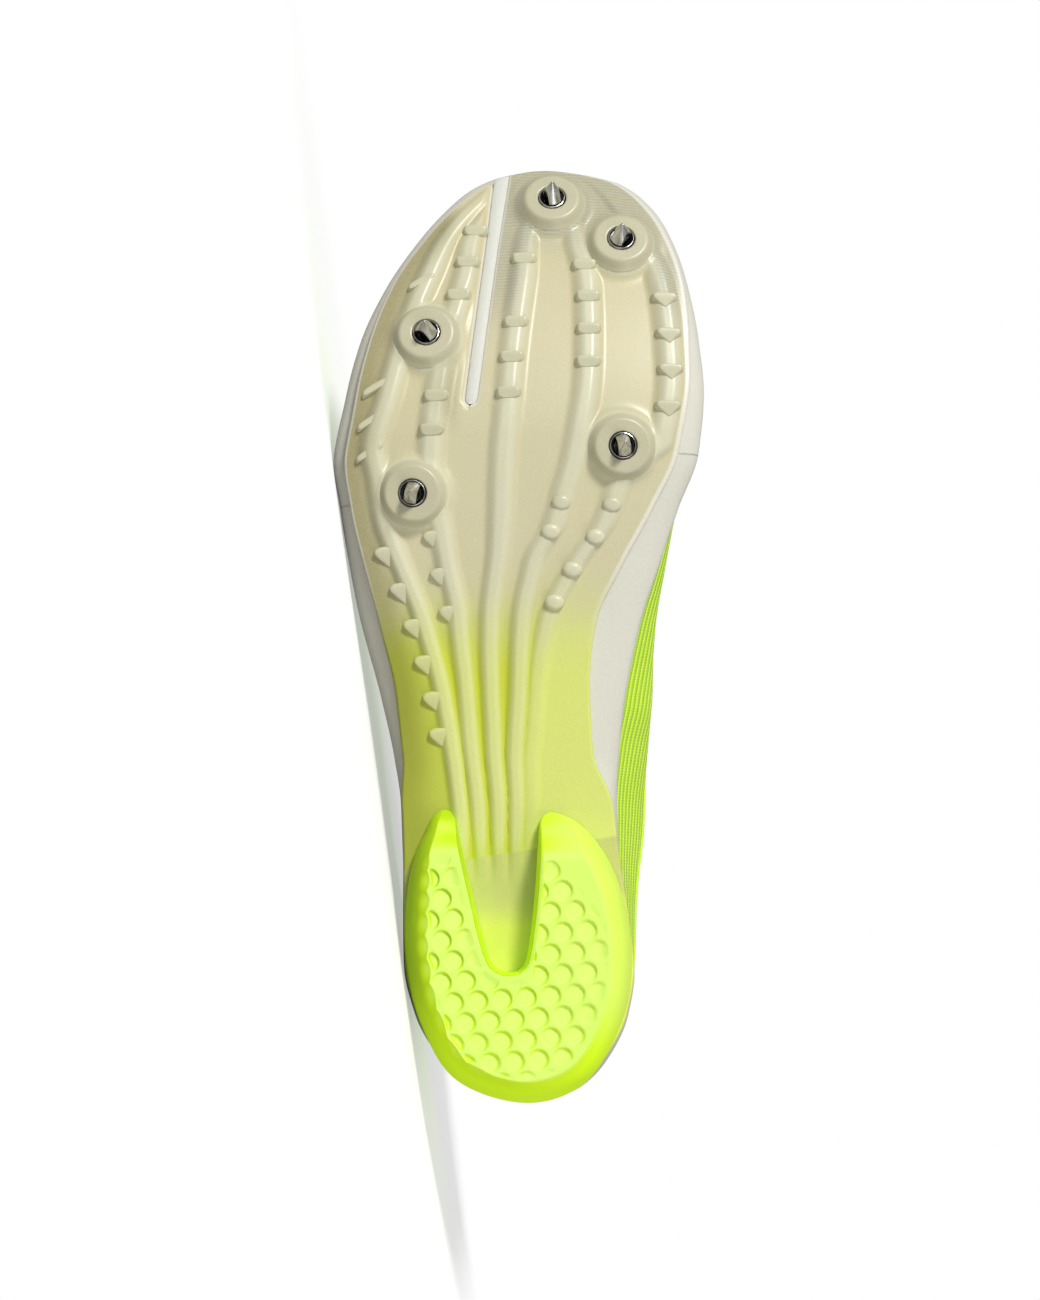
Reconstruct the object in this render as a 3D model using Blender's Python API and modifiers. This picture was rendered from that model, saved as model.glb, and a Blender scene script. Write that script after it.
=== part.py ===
"""Track spike shoe for the right foot, lying on its lateral side.

Every piece is worked out in the shoe's own frame: X runs from heel to toe, Y to the medial side and
Z up from the plane of the heel tread. One empty then lays the whole shoe on its side.
"""
import math
from bisect import bisect_right

import bmesh
import bpy
from mathutils import Matrix, Vector

# Driving sizes of the shoe, in metres
LENGTH = 0.283
BALL_WIDTH = 0.109
INSTEP_HEIGHT = 0.066
HEEL_HEIGHT = 0.050
HEEL_LIFT = 0.0135
TOE_SPRING = 0.029
EDGE_LIFT = 0.003

# Shape of the sole from the side: shares of the length where the arch falls from the heel to the ball,
# where the toe starts to rise and how sharply, and where the edges lift
ARCH_FALL = (0.16, 0.69)
TOE_START = 0.696
TOE_REACH = 0.300
TOE_CURVE = 1.55
EDGE_LIFT_START = (0.36, 0.60)
EDGE_LIFT_END = (0.75, 1.0)
EDGE_LIFT_AT_TOE = 0.3

# Walls and layers
FIT = 0.0003
PLATE_THICK = 0.0019
PLATE_MARGIN = 0.0012
PLATE_ROUND = 0.0008
FOAM_HEEL = 0.0100
FOAM_BALL = 0.0075
RIM_HEIGHT = 0.0035
RIM_WIDTH = 0.0020
WALL = 0.0018
BAND_STEP = 0.0007
COLLAR_PAD = 0.0042
INSOLE_THICK = 0.0030
TONGUE_THICK = 0.0024
TONGUE_HALF = 0.0240

# Plate relief
RIDGE_HEIGHT = 0.0020
LUG_HEIGHT = 0.0010
SLIT_WIDTH = 0.0030

# Spikes, their sockets and the bosses that carry them
BOSS_FOOT_RADIUS = 0.0112
BOSS_TOP_RADIUS = 0.0080
BOSS_HEIGHT = 0.0048
SOCKET_RADIUS = 0.0040
SOCKET_DEPTH = 0.0040
SOCKET_FLOOR = 0.0005
THREAD_RADIUS = 0.0026
SPIKE_LENGTH = 0.0075
SPIKE_RADIUS = 0.0033
SPIKE_FLAT = 0.0038
SPIKE_TIP = 0.0003
SPIKE_SEAT = 0.0004

# Heel pad
PAD_FLARE = 0.0060
PAD_LIP = 0.0020
PAD_LEAN = 0.0012
PAD_ROUND = 0.0010

# Laces and eyelets
EYELET_ROWS = 6
EYELET_RADIUS = 0.0020
LACE_WIDTH = 0.0048
LACE_THICK = 0.0012
LACE_LIFT = 0.0007
# Where a crossing ends: share of the way to the next row, and place under the opposite band
LACE_REACH = 0.64
LACE_INSIDE = 0.76

# How far the last's ridge stops short of the heel and of the toe
HEEL_FAN = 0.034
TOE_FAN = 0.0155


def smoothstep(low, high, value):
    share = min(1.0, max(0.0, (value - low) / (high - low)))
    return share * share * (3.0 - 2.0 * share)


def mix(first, second, share):
    return first + (second - first) * share


def monotone(xs, ys, x):
    """A monotone cubic through the points (xs, ys), read at x."""
    if x <= xs[0]:
        return ys[0]
    if x >= xs[-1]:
        return ys[-1]

    def secant(i):
        return (ys[i + 1] - ys[i]) / (xs[i + 1] - xs[i])

    def slope(i):
        if i == 0 or i == len(xs) - 1:
            return secant(min(i, len(xs) - 2))
        before, after = secant(i - 1), secant(i)
        if before * after <= 0.0:
            return 0.0
        wide, narrow = 2.0 * (xs[i + 1] - xs[i]), xs[i] - xs[i - 1]
        first = wide + narrow
        second = wide / 2.0 + 2.0 * narrow
        return (first + second) / (first / before + second / after)

    k = bisect_right(xs, x) - 1
    span = xs[k + 1] - xs[k]
    t = (x - xs[k]) / span
    return ((1 + 2 * t) * (1 - t) ** 2 * ys[k] + t * (1 - t) ** 2 * span * slope(k)
            + t * t * (3 - 2 * t) * ys[k + 1] + t * t * (t - 1) * span * slope(k + 1))


class Table:
    """Rows of shares under named columns, read smoothly between the rows."""

    def __init__(self, columns, *rows):
        self.keys = [row[0] for row in rows]
        self.columns = {name: [row[i] for row in rows] for i, name in enumerate(columns)}

    def read(self, name, key):
        return monotone(self.keys, self.columns[name], key)


# Foot and top of the throat, as shares of the length
THROAT_TOE = 0.700
THROAT_TOP = 0.420

# Foot and top of the tongue, as shares of the length, and how deep it lies under the upper's skin
TONGUE_TOE = 0.735
TONGUE_TOP = 0.380
TONGUE_COLUMNS = 10
TONGUE_DEPTH = WALL + 3.0 * FIT

# Rows of the upper from rim to edge, and where the band along the edge starts
UPPER_ROWS = (0.18, 0.40, 0.60, 0.775, 0.795, 0.90, 1.0)
BAND_START = 0.79

# Where the collar's padding swells up the wall, and where it ends along the length
PAD_SWELL = (0.42, 0.80)
PAD_END = (0.26, 0.37)

# Plan of the sole: sides of the foam and of the plate, as shares of the ball width
SOLE_PLAN = Table(
    ("along", "lateral", "medial", "plate_lateral", "plate_medial"),
    (0.000, 0.015, 0.015, 0.015, 0.015),
    (0.014, -0.138, 0.156, -0.134, 0.151),
    (0.045, -0.224, 0.235, -0.220, 0.231),
    (0.090, -0.291, 0.290, -0.287, 0.286),
    (0.140, -0.322, 0.307, -0.318, 0.304),
    (0.200, -0.325, 0.289, -0.321, 0.286),
    (0.260, -0.326, 0.266, -0.322, 0.263),
    (0.310, -0.331, 0.260, -0.327, 0.246),
    (0.360, -0.349, 0.265, -0.325, 0.195),
    (0.420, -0.383, 0.281, -0.342, 0.185),
    (0.500, -0.439, 0.323, -0.390, 0.203),
    (0.560, -0.471, 0.374, -0.431, 0.275),
    (0.620, -0.497, 0.426, -0.467, 0.358),
    (0.680, -0.514, 0.483, -0.481, 0.427),
    (0.740, -0.483, 0.499, -0.454, 0.456),
    (0.800, -0.445, 0.488, -0.419, 0.455),
    (0.860, -0.378, 0.462, -0.362, 0.441),
    (0.920, -0.280, 0.415, -0.265, 0.393),
    (0.955, -0.206, 0.364, -0.187, 0.332),
    (0.985, -0.111, 0.274, -0.087, 0.248),
    (1.000, 0.064, 0.064, 0.064, 0.064),
)

# Lengthwise ridges of the plate: place across the plate, half width of each, and height
RIDGES = Table(
    ("along", "ridge_1", "ridge_2", "ridge_3", "ridge_4", "ridge_5", "half_width", "height"),
    (0.000, 0.300, 0.400, 0.500, 0.600, 0.700, 0.018, 0.0),
    (0.212, 0.350, 0.390, 0.428, 0.466, 0.504, 0.014, 0.0),
    (0.247, 0.335, 0.385, 0.432, 0.478, 0.522, 0.016, 0.4),
    (0.283, 0.300, 0.372, 0.440, 0.505, 0.558, 0.020, 0.8),
    (0.336, 0.275, 0.368, 0.473, 0.574, 0.654, 0.024, 1.0),
    (0.396, 0.251, 0.364, 0.494, 0.612, 0.710, 0.026, 1.0),
    (0.480, 0.231, 0.386, 0.529, 0.655, 0.790, 0.031, 1.0),
    (0.562, 0.140, 0.320, 0.513, 0.654, 0.819, 0.036, 1.0),
    (0.604, 0.109, 0.295, 0.502, 0.692, 0.860, 0.040, 1.0),
    (0.647, 0.104, 0.271, 0.485, 0.690, 0.856, 0.042, 1.0),
    (0.689, 0.080, 0.253, 0.470, 0.690, 0.943, 0.042, 1.0),
    (0.746, 0.101, 0.244, 0.458, 0.689, 0.939, 0.042, 1.0),
    (0.866, 0.113, 0.244, 0.442, 0.665, 0.917, 0.042, 1.0),
    (0.926, 0.090, 0.195, 0.416, 0.612, 0.870, 0.036, 0.6),
    (1.000, 0.100, 0.250, 0.450, 0.600, 0.800, 0.020, 0.0),
)

# Rows of lugs on the ridges: which ridge, first and last place, how many, kind, and step to the side
LUG_ROWS = (
    ("ridge_1", 0.865, 0.865, 1, "bar", -0.010),
    ("ridge_2", 0.924, 0.848, 3, "bar", 0.0),
    ("ridge_2", 0.736, 0.700, 2, "bar", 0.0),
    ("ridge_3", 0.890, 0.890, 1, "bar", 0.0),
    ("ridge_3", 0.817, 0.739, 3, "bar", 0.0),
    ("ridge_4", 0.883, 0.773, 4, "bar", 0.0),
    ("ridge_5", 0.845, 0.725, 4, "bar", 0.0),
    ("ridge_1", 0.572, 0.382, 6, "knob", -0.024),
    ("ridge_2", 0.589, 0.510, 3, "knob", 0.0),
    ("ridge_5", 0.622, 0.519, 4, "dome", 0.0),
    ("ridge_4", 0.624, 0.593, 2, "dome", 0.0),
)
LUG_KINDS = {
    "bar": {"long": 0.0027, "wide": 0.0065},
    "knob": {"long": 0.0046, "wide": 0.0040},
    "dome": {"long": 0.0046, "wide": 0.0046},
}

# Spikes: place along the length and to the side (share of ball width), and turn of the flats
SPIKES = (
    (0.952, 0.083, 20.0),
    (0.905, 0.272, -35.0),
    (0.799, -0.259, 55.0),
    (0.681, 0.271, 10.0),
    (0.632, -0.294, -15.0),
)

# Straight slit of the plate: from past the toe to its rounded end
SLIT = {"toe": (1.020, -0.046), "end": (0.733, -0.138)}

# Horseshoe pad: outer and inner edge along the length and to the side, and how much of its depth
HEEL_PAD = (
    ("outer_along", "outer_side", "inner_along", "inner_side", "depth"),
    (0.306, -0.215, 0.301, -0.192, 0.12),
    (0.283, -0.259, 0.280, -0.171, 0.60),
    (0.247, -0.297, 0.254, -0.156, 1.00),
    (0.205, -0.314, 0.212, -0.131, 1.00),
    (0.148, -0.314, 0.170, -0.105, 1.00),
    (0.085, -0.277, 0.145, -0.083, 1.00),
    (0.0235, -0.180, 0.136, -0.055, 1.00),
    (-0.001, 0.010, 0.135, -0.028, 1.00),
    (0.0205, 0.172, 0.138, -0.006, 1.00),
    (0.085, 0.272, 0.148, 0.011, 1.00),
    (0.148, 0.298, 0.177, 0.023, 1.00),
    (0.205, 0.279, 0.212, 0.033, 1.00),
    (0.247, 0.240, 0.247, 0.039, 1.00),
    (0.279, 0.183, 0.276, 0.044, 0.60),
    (0.300, 0.110, 0.297, 0.051, 0.12),
)

# The last: rise of its ridge (shares of heel and instep height), ridge side, bulges over the sole
# (shares of ball width), edge of collar and throat (share of the way up to the ridge), fullness
LAST = Table(
    ("along", "of_heel", "of_instep", "side", "bulge_lateral", "bulge_medial", "edge", "fullness"),
    (0.00, 2.10, 0.00, 0.000, 0.013, 0.013, 0.312, 2.0),
    (0.10, 2.12, 0.00, 0.000, 0.013, 0.022, 0.240, 2.3),
    (0.20, 2.12, 0.00, 0.000, 0.014, 0.048, 0.172, 2.5),
    (0.27, 2.10, 0.00, 0.005, 0.014, 0.088, 0.160, 2.6),
    (0.33, 1.55, 0.35, 0.008, 0.010, 0.108, 0.200, 2.6),
    (0.38, 0.70, 0.83, 0.012, 0.006, 0.112, 0.350, 2.5),
    (0.42, 0.00, 1.15, 0.016, 0.005, 0.108, 0.690, 2.5),
    (0.48, 0.00, 1.03, 0.025, 0.000, 0.084, 0.765, 2.4),
    (0.56, 0.00, 0.92, 0.040, 0.000, 0.050, 0.835, 2.4),
    (0.66, 0.00, 0.79, 0.060, 0.000, 0.016, 0.905, 2.4),
    (0.70, 0.00, 0.73, 0.066, 0.000, 0.008, 1.000, 2.4),
    (0.80, 0.00, 0.60, 0.070, 0.000, 0.000, 1.000, 2.4),
    (0.88, 0.00, 0.51, 0.070, 0.000, 0.000, 1.000, 2.4),
    (0.93, 0.00, 0.44, 0.068, 0.000, 0.000, 1.000, 2.4),
    (0.97, 0.00, 0.37, 0.066, 0.000, 0.000, 1.000, 2.4),
    (1.00, 0.00, 0.30, 0.064, 0.000, 0.000, 1.000, 2.4),
)

MATERIALS = {
    "ivory_plate": {"colour": (0.72, 0.70, 0.45), "roughness": 0.32, "metallic": 0.0},
    "white_foam": {"colour": (0.80, 0.79, 0.70), "roughness": 0.60, "metallic": 0.0},
    "lime_rubber": {"colour": (0.60, 0.83, 0.05), "roughness": 0.55, "metallic": 0.0},
    "lime_knit": {"colour": (0.52, 0.77, 0.07), "roughness": 0.80, "metallic": 0.0},
    "grey_foam": {"colour": (0.35, 0.36, 0.34), "roughness": 0.85, "metallic": 0.0},
    "white_lace": {"colour": (0.75, 0.76, 0.70), "roughness": 0.80, "metallic": 0.0},
    "polished_steel": {"colour": (0.62, 0.61, 0.60), "roughness": 0.18, "metallic": 1.0},
    "dark_steel": {"colour": (0.10, 0.10, 0.10), "roughness": 0.30, "metallic": 1.0},
}

# Shares of the length at which all layers have a section: close together at both ends, at the front
# of the collar and at the foot of the throat
STATIONS = (0.0, 0.004, 0.014, 0.032, 0.058, 0.092, 0.130, 0.170, 0.210, 0.250, 0.285, 0.315, 0.342,
            0.366, 0.388, 0.408, 0.430, 0.460, 0.495, 0.530, 0.565, 0.600, 0.632, 0.660, 0.682,
            0.694, THROAT_TOE, 0.730, 0.765, 0.800, 0.835, 0.868, 0.898, 0.925, 0.949, 0.970,
            0.986, 0.996, 1.0)
CROSS_SHARES = (0.22, 0.5, 0.78)


def sole_pair(at, lateral_name, medial_name):
    """Both sides of an outline at a share of the length; squares make the ends round."""
    lateral = SOLE_PLAN.columns[lateral_name]
    medial = SOLE_PLAN.columns[medial_name]
    squares = [((m - l) / 2.0) ** 2 for l, m in zip(lateral, medial)]
    centres = [(m + l) / 2.0 for l, m in zip(lateral, medial)]
    half = math.sqrt(max(0.0, monotone(SOLE_PLAN.keys, squares, at)))
    centre = monotone(SOLE_PLAN.keys, centres, at)
    return (centre - half) * BALL_WIDTH, (centre + half) * BALL_WIDTH


def edge_point(at, side, inset=0.0, plate=False):
    """A point of the foam's or the plate's outline; side is -1 lateral, +1 medial."""
    names = ("plate_lateral", "plate_medial") if plate else ("lateral", "medial")
    margin = PLATE_MARGIN if plate else 0.0

    def raw(share):
        share = min(1.0, max(0.0, share))
        pair = sole_pair(share, *names)
        return Vector((mix(margin, LENGTH - margin, share), pair[0] if side < 0 else pair[1]))

    point = raw(at)
    if at <= 0.0 or at >= 1.0:
        inward = Vector((1.0 if at <= 0.0 else -1.0, 0.0))
    else:
        step = min(0.002, at * 0.5, (1.0 - at) * 0.5)
        along = (raw(at + step) - raw(at - step)).normalized()
        inward = Vector((along.y, -along.x)) if side > 0 else Vector((-along.y, along.x))
    return point + inward * inset


def ground(x, y):
    """Height of the plate's smooth underside over the plane of the heel tread."""
    at = x / LENGTH
    heel = HEEL_LIFT * (1.0 - smoothstep(*ARCH_FALL, at))
    toe = TOE_SPRING * (max(0.0, at - TOE_START) / TOE_REACH) ** TOE_CURVE
    across = 2.0 * (y + 0.01 * BALL_WIDTH) / BALL_WIDTH
    lift = smoothstep(*EDGE_LIFT_START, at) * mix(1.0, EDGE_LIFT_AT_TOE, smoothstep(*EDGE_LIFT_END, at))
    return heel + toe + EDGE_LIFT * lift * across * across


def foam_thick(x):
    return mix(FOAM_HEEL, FOAM_BALL, smoothstep(0.3, 0.7, x / LENGTH))


def foam_bottom(x, y):
    return ground(x, y) + PLATE_THICK + FIT


def footbed(x, y):
    return foam_bottom(x, y) + foam_thick(x)


def lift_to(point, height, extra=0.0):
    return Vector((point.x, point.y, height(point.x, point.y) + extra))


def across_row(lateral, medial, shares, height, extra=0.0):
    """Points between a lateral and a medial point, each at the height that the function gives."""
    return [lift_to(lateral.lerp(medial, share), height, extra) for share in shares]


def link(name, mesh, material, folder):
    obj = bpy.data.objects.new(name, mesh)
    folder.objects.link(obj)
    if material:
        obj.data.materials.append(material)
    return obj


def face_out(bm):
    """Turn all faces of a closed mesh outwards, also where its volume comes out negative."""
    bmesh.ops.recalc_face_normals(bm, faces=bm.faces)
    if bm.calc_volume(signed=True) < 0.0:
        bmesh.ops.reverse_faces(bm, faces=bm.faces)


def loft_mesh(name, sections, pinched=False):
    """A closed solid through sections that all have the same number of points. Where it is pinched,
    the first and the last section have no width, and need no cap."""
    bm = bmesh.new()
    rings = [[bm.verts.new(point) for point in section] for section in sections]
    for ring, following in zip(rings, rings[1:]):
        for i in range(len(ring)):
            j = (i + 1) % len(ring)
            bm.faces.new((ring[i], ring[j], following[j], following[i]))
    if pinched:
        bmesh.ops.remove_doubles(bm, verts=bm.verts, dist=0.000001)
    else:
        bm.faces.new(rings[0])
        bm.faces.new(list(reversed(rings[-1])))
    face_out(bm)
    mesh = bpy.data.meshes.new(name)
    bm.to_mesh(mesh)
    bm.free()
    mesh.shade_smooth()
    mesh.set_sharp_from_angle(angle=math.radians(35.0))
    return mesh


def add_boolean(obj, cutter, operation):
    modifier = obj.modifiers.new(cutter.name, "BOOLEAN")
    modifier.operation = operation
    modifier.solver = "EXACT"
    modifier.object = cutter


def hide_guide(obj):
    obj.hide_render = True
    obj.display_type = "WIRE"


# The plate


def plate_bottom(at):
    """Underside of one plate section: rounded edges and the three lines of each ridge."""
    lateral = edge_point(at, -1, plate=True)
    medial = edge_point(at, 1, plate=True)
    width = (medial - lateral).length
    rounding = min(PLATE_ROUND, 0.1 * width)
    share_round = rounding / max(width, FIT)
    half = RIDGES.read("half_width", at) * BALL_WIDTH / max(width, FIT)
    height = RIDGES.read("height", at) * RIDGE_HEIGHT
    crests = [RIDGES.read("ridge_%d" % number, at) for number in range(1, 6)]
    walls = [share_round] + crests + [1.0 - share_round]
    row = [lift_to(lateral, ground, rounding), lift_to(lateral.lerp(medial, share_round), ground)]
    for i, crest in enumerate(crests):
        before, after = walls[i], walls[i + 2]
        low_reach = 0.8 if i == 0 else 0.46
        high_reach = 0.8 if i == len(crests) - 1 else 0.46
        low = crest - min(half, low_reach * (crest - before))
        high = crest + min(half, high_reach * (after - crest))
        row += across_row(lateral, medial, (low,), ground)
        row += across_row(lateral, medial, (crest,), ground, -height)
        row += across_row(lateral, medial, (high,), ground)
    row += [lift_to(lateral.lerp(medial, 1.0 - share_round), ground), lift_to(medial, ground, rounding)]
    return row


def plate_section(at):
    lateral = edge_point(at, -1, plate=True)
    medial = edge_point(at, 1, plate=True)
    top = across_row(lateral, medial, (0.0,) + CROSS_SHARES + (1.0,), ground, PLATE_THICK)
    return plate_bottom(at) + list(reversed(top))


def ridge_place(name, at):
    """Plan point on the crest of a ridge."""
    lateral = edge_point(at, -1, plate=True)
    medial = edge_point(at, 1, plate=True)
    return lateral.lerp(medial, RIDGES.read(name, at))


def surface_frame(x, y, turn=0.0):
    """Frame on the plate's underside: its Z points out of the plate, towards the track."""
    step = 0.001
    slope_x = (ground(x + step, y) - ground(x - step, y)) / (2.0 * step)
    slope_y = (ground(x, y + step) - ground(x, y - step)) / (2.0 * step)
    out = Vector((slope_x, slope_y, -1.0)).normalized()
    along = Vector((1.0, 0.0, slope_x)).normalized()
    side = out.cross(along).normalized()
    frame = Matrix((along, side, out)).transposed().to_4x4()
    frame.translation = Vector((x, y, ground(x, y)))
    return frame @ Matrix.Rotation(turn, 4, "Z")


def add_lugs(folder):
    """All lugs in one mesh: four-sided blocks that start inside the ridge and narrow outwards."""
    bm = bmesh.new()
    sink = 0.0012
    for name, first, last, count, kind, step in LUG_ROWS:
        for i in range(count):
            at = mix(first, last, i / max(1, count - 1))
            place = ridge_place(name, at)
            frame = surface_frame(place.x, place.y + step * BALL_WIDTH)
            crest = RIDGES.read("height", at) * RIDGE_HEIGHT
            sides = 8 if kind == "dome" else 4
            low = crest - sink if step == 0.0 else -0.3 * sink
            reach = crest + LUG_HEIGHT - low
            shape = LUG_KINDS[kind]
            spread = Matrix.Diagonal((shape["long"], shape["wide"], 1.0, 1.0))
            lift = Matrix.Translation((0.0, 0.0, low + reach / 2.0))
            turn = Matrix.Rotation(math.pi / sides, 4, "Z")
            radius = 0.5 / math.cos(math.pi / sides)
            bmesh.ops.create_cone(bm, cap_ends=True, segments=sides, radius1=radius, radius2=0.76 * radius,
                                  depth=reach, matrix=frame @ spread @ lift @ turn)
    face_out(bm)
    mesh = bpy.data.meshes.new("lugs")
    bm.to_mesh(mesh)
    bm.free()
    return link("lug_bodies", mesh, None, folder)


def spike_places():
    for along, side, turn in SPIKES:
        yield surface_frame(along * LENGTH, side * BALL_WIDTH, math.radians(turn))


def add_bosses(folder):
    bm = bmesh.new()
    root = 0.6 * PLATE_THICK
    for frame in spike_places():
        lift = Matrix.Translation((0.0, 0.0, (BOSS_HEIGHT - root) / 2.0))
        bmesh.ops.create_cone(bm, cap_ends=True, segments=18, radius1=BOSS_FOOT_RADIUS,
                              radius2=BOSS_TOP_RADIUS, depth=BOSS_HEIGHT + root, matrix=frame @ lift)
    face_out(bm)
    mesh = bpy.data.meshes.new("bosses")
    bm.to_mesh(mesh)
    bm.free()
    return link("boss_bodies", mesh, None, folder)


def add_bores(folder):
    bm = bmesh.new()
    over = 0.002
    depth = SOCKET_DEPTH + FIT
    for frame in spike_places():
        lift = Matrix.Translation((0.0, 0.0, BOSS_HEIGHT + (over - depth) / 2.0))
        bmesh.ops.create_cone(bm, cap_ends=True, segments=14, radius1=SOCKET_RADIUS + FIT,
                              radius2=SOCKET_RADIUS + FIT, depth=depth + over, matrix=frame @ lift)
    face_out(bm)
    mesh = bpy.data.meshes.new("bores")
    bm.to_mesh(mesh)
    bm.free()
    return link("boss_bores", mesh, None, folder)


def add_slit(folder):
    """A straight slot with one round end, as a prism through the plate."""
    toe = Vector((SLIT["toe"][0] * LENGTH, SLIT["toe"][1] * BALL_WIDTH))
    end = Vector((SLIT["end"][0] * LENGTH, SLIT["end"][1] * BALL_WIDTH))
    back = (end - toe).normalized()
    side = Vector((-back.y, back.x))
    radius = SLIT_WIDTH / 2.0
    outline = [toe + side * radius]
    steps = 6
    for i in range(steps + 1):
        turn = math.pi * i / steps
        outline.append(end + (side * math.cos(turn) + back * math.sin(turn)) * radius)
    outline.append(toe - side * radius)
    low, high = -0.01, TOE_SPRING + 0.02
    sections = [[Vector((p.x, p.y, z)) for p in outline] for z in (low, high)]
    return link("plate_slit", loft_mesh("plate_slit", sections), None, folder)


def add_plate(shoe, guides, material):
    sections = [plate_section(at) for at in STATIONS]
    plate = link("outsole_plate", loft_mesh("outsole_plate", sections, True), material, shoe)
    steps = ((add_bosses, "UNION"), (add_lugs, "UNION"), (add_slit, "DIFFERENCE"), (add_bores, "DIFFERENCE"))
    for maker, operation in steps:
        cutter = maker(guides)
        hide_guide(cutter)
        add_boolean(plate, cutter, operation)
    return plate


def add_sockets(shoe, material):
    """Turned cups in the bosses."""
    made = []
    top = BOSS_HEIGHT
    foot = top - SOCKET_DEPTH
    floor = foot + SOCKET_FLOOR
    profile = ((0.0, foot), (SOCKET_RADIUS, foot), (SOCKET_RADIUS, top), (THREAD_RADIUS, top),
               (THREAD_RADIUS, floor), (0.0, floor))
    sides = 12
    for number, frame in enumerate(spike_places(), 1):
        bm = bmesh.new()
        verts = [bm.verts.new((radius, 0.0, z)) for radius, z in profile]
        edges = [bm.edges.new(pair) for pair in zip(verts, verts[1:])]
        bmesh.ops.spin(bm, geom=verts + edges, cent=(0, 0, 0), axis=(0, 0, 1), angle=2.0 * math.pi,
                       steps=sides, use_merge=True)
        bmesh.ops.remove_doubles(bm, verts=bm.verts, dist=0.00001)
        face_out(bm)
        mesh = bpy.data.meshes.new("spike_socket")
        bm.to_mesh(mesh)
        bm.free()
        socket = link("spike_socket_%d" % number, mesh, material, shoe)
        socket.matrix_world = frame
        made.append(socket)
    return made


def add_spikes(shoe, material):
    """Pins with a round shank and a cone that is cut by two flats and ends in a small round tip."""
    made = []
    sides = 12
    shank = THREAD_RADIUS - 1.6 * FIT
    foot = BOSS_HEIGHT - SOCKET_DEPTH + SOCKET_FLOOR + FIT
    seat = BOSS_HEIGHT + FIT
    top = BOSS_HEIGHT + SPIKE_LENGTH
    shoulder = seat + SPIKE_SEAT
    flat_end = mix(shoulder, top, (SPIKE_RADIUS - SPIKE_FLAT / 2.0) / (SPIKE_RADIUS - SPIKE_TIP))

    def ring(radius, z):
        points = []
        for i in range(sides):
            turn = 2.0 * math.pi * i / sides
            y = min(SPIKE_FLAT / 2.0, max(-SPIKE_FLAT / 2.0, radius * math.sin(turn)))
            points.append(Vector((radius * math.cos(turn), y, z)))
        return points

    for number, frame in enumerate(spike_places(), 1):
        sections = [
            ring(shank, foot),
            ring(shank, seat),
            ring(SPIKE_RADIUS, seat),
            ring(SPIKE_RADIUS, shoulder),
            ring(SPIKE_FLAT / 2.0, flat_end),
            ring(SPIKE_TIP, top),
        ]
        spike = link("spike_%d" % number, loft_mesh("spike", sections), material, shoe)
        spike.matrix_world = frame
        made.append(spike)
    return made


# The foam, the insole and the heel pad


def add_midsole(shoe, material):
    """Foam whose side flares from the plate's edge, with a rim that cups the upper."""
    def side_points(at, side):
        foot = edge_point(at, side, 0.0006, plate=True)
        edge = edge_point(at, side)
        thick = foam_thick(edge.x)
        flank = foot.lerp(edge, 0.60)
        points = [
            lift_to(foot, foam_bottom),
            lift_to(flank, foam_bottom, 0.24 * thick),
            lift_to(edge, foam_bottom, 0.66 * thick),
            lift_to(edge_point(at, side, 0.2 * RIM_WIDTH), footbed, RIM_HEIGHT),
            lift_to(edge_point(at, side, RIM_WIDTH), footbed, RIM_HEIGHT),
            lift_to(edge_point(at, side, RIM_WIDTH), footbed),
        ]
        return points

    sections = []
    for at in STATIONS:
        lateral, medial = side_points(at, -1), side_points(at, 1)
        top = across_row(lateral[-1].xy, medial[-1].xy, CROSS_SHARES, footbed)
        low = across_row(lateral[0].xy, medial[0].xy, CROSS_SHARES, foam_bottom)
        sections.append(lateral + top + list(reversed(medial)) + list(reversed(low)))
    return link("midsole", loft_mesh("midsole", sections, True), material, shoe)


def add_insole(shoe, material):
    """Flat lining inside the upper's wall, with a slightly narrower top."""
    inset = RIM_WIDTH + FIT + WALL + FIT
    sections = []
    for at in STATIONS:
        sides = []
        for side in (-1, 1):
            foot = edge_point(at, side, inset)
            top = edge_point(at, side, inset + FIT)
            sides.append([lift_to(foot, footbed, FIT), lift_to(top, footbed, FIT + INSOLE_THICK)])
        lateral, medial = sides
        upper_row = across_row(lateral[-1].xy, medial[-1].xy, CROSS_SHARES, footbed, FIT + INSOLE_THICK)
        lower_row = across_row(lateral[0].xy, medial[0].xy, CROSS_SHARES, footbed, FIT)
        sections.append(lateral + upper_row + list(reversed(medial)) + list(reversed(lower_row)))
    return link("insole", loft_mesh("insole", sections, True), material, shoe)


def curve_through(values, place):
    """A smooth curve through evenly numbered values, read at a place between them."""
    last = len(values) - 1
    k = min(int(place), last - 1)
    t = place - k
    before = values[max(0, k - 1)]
    first, second = values[k], values[k + 1]
    after = values[min(last, k + 2)]
    return 0.5 * (2 * first + (second - before) * t + (2 * before - 5 * first + 4 * second - after) * t * t
                  + (3 * first - before - 3 * second + after) * t ** 3)


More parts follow.
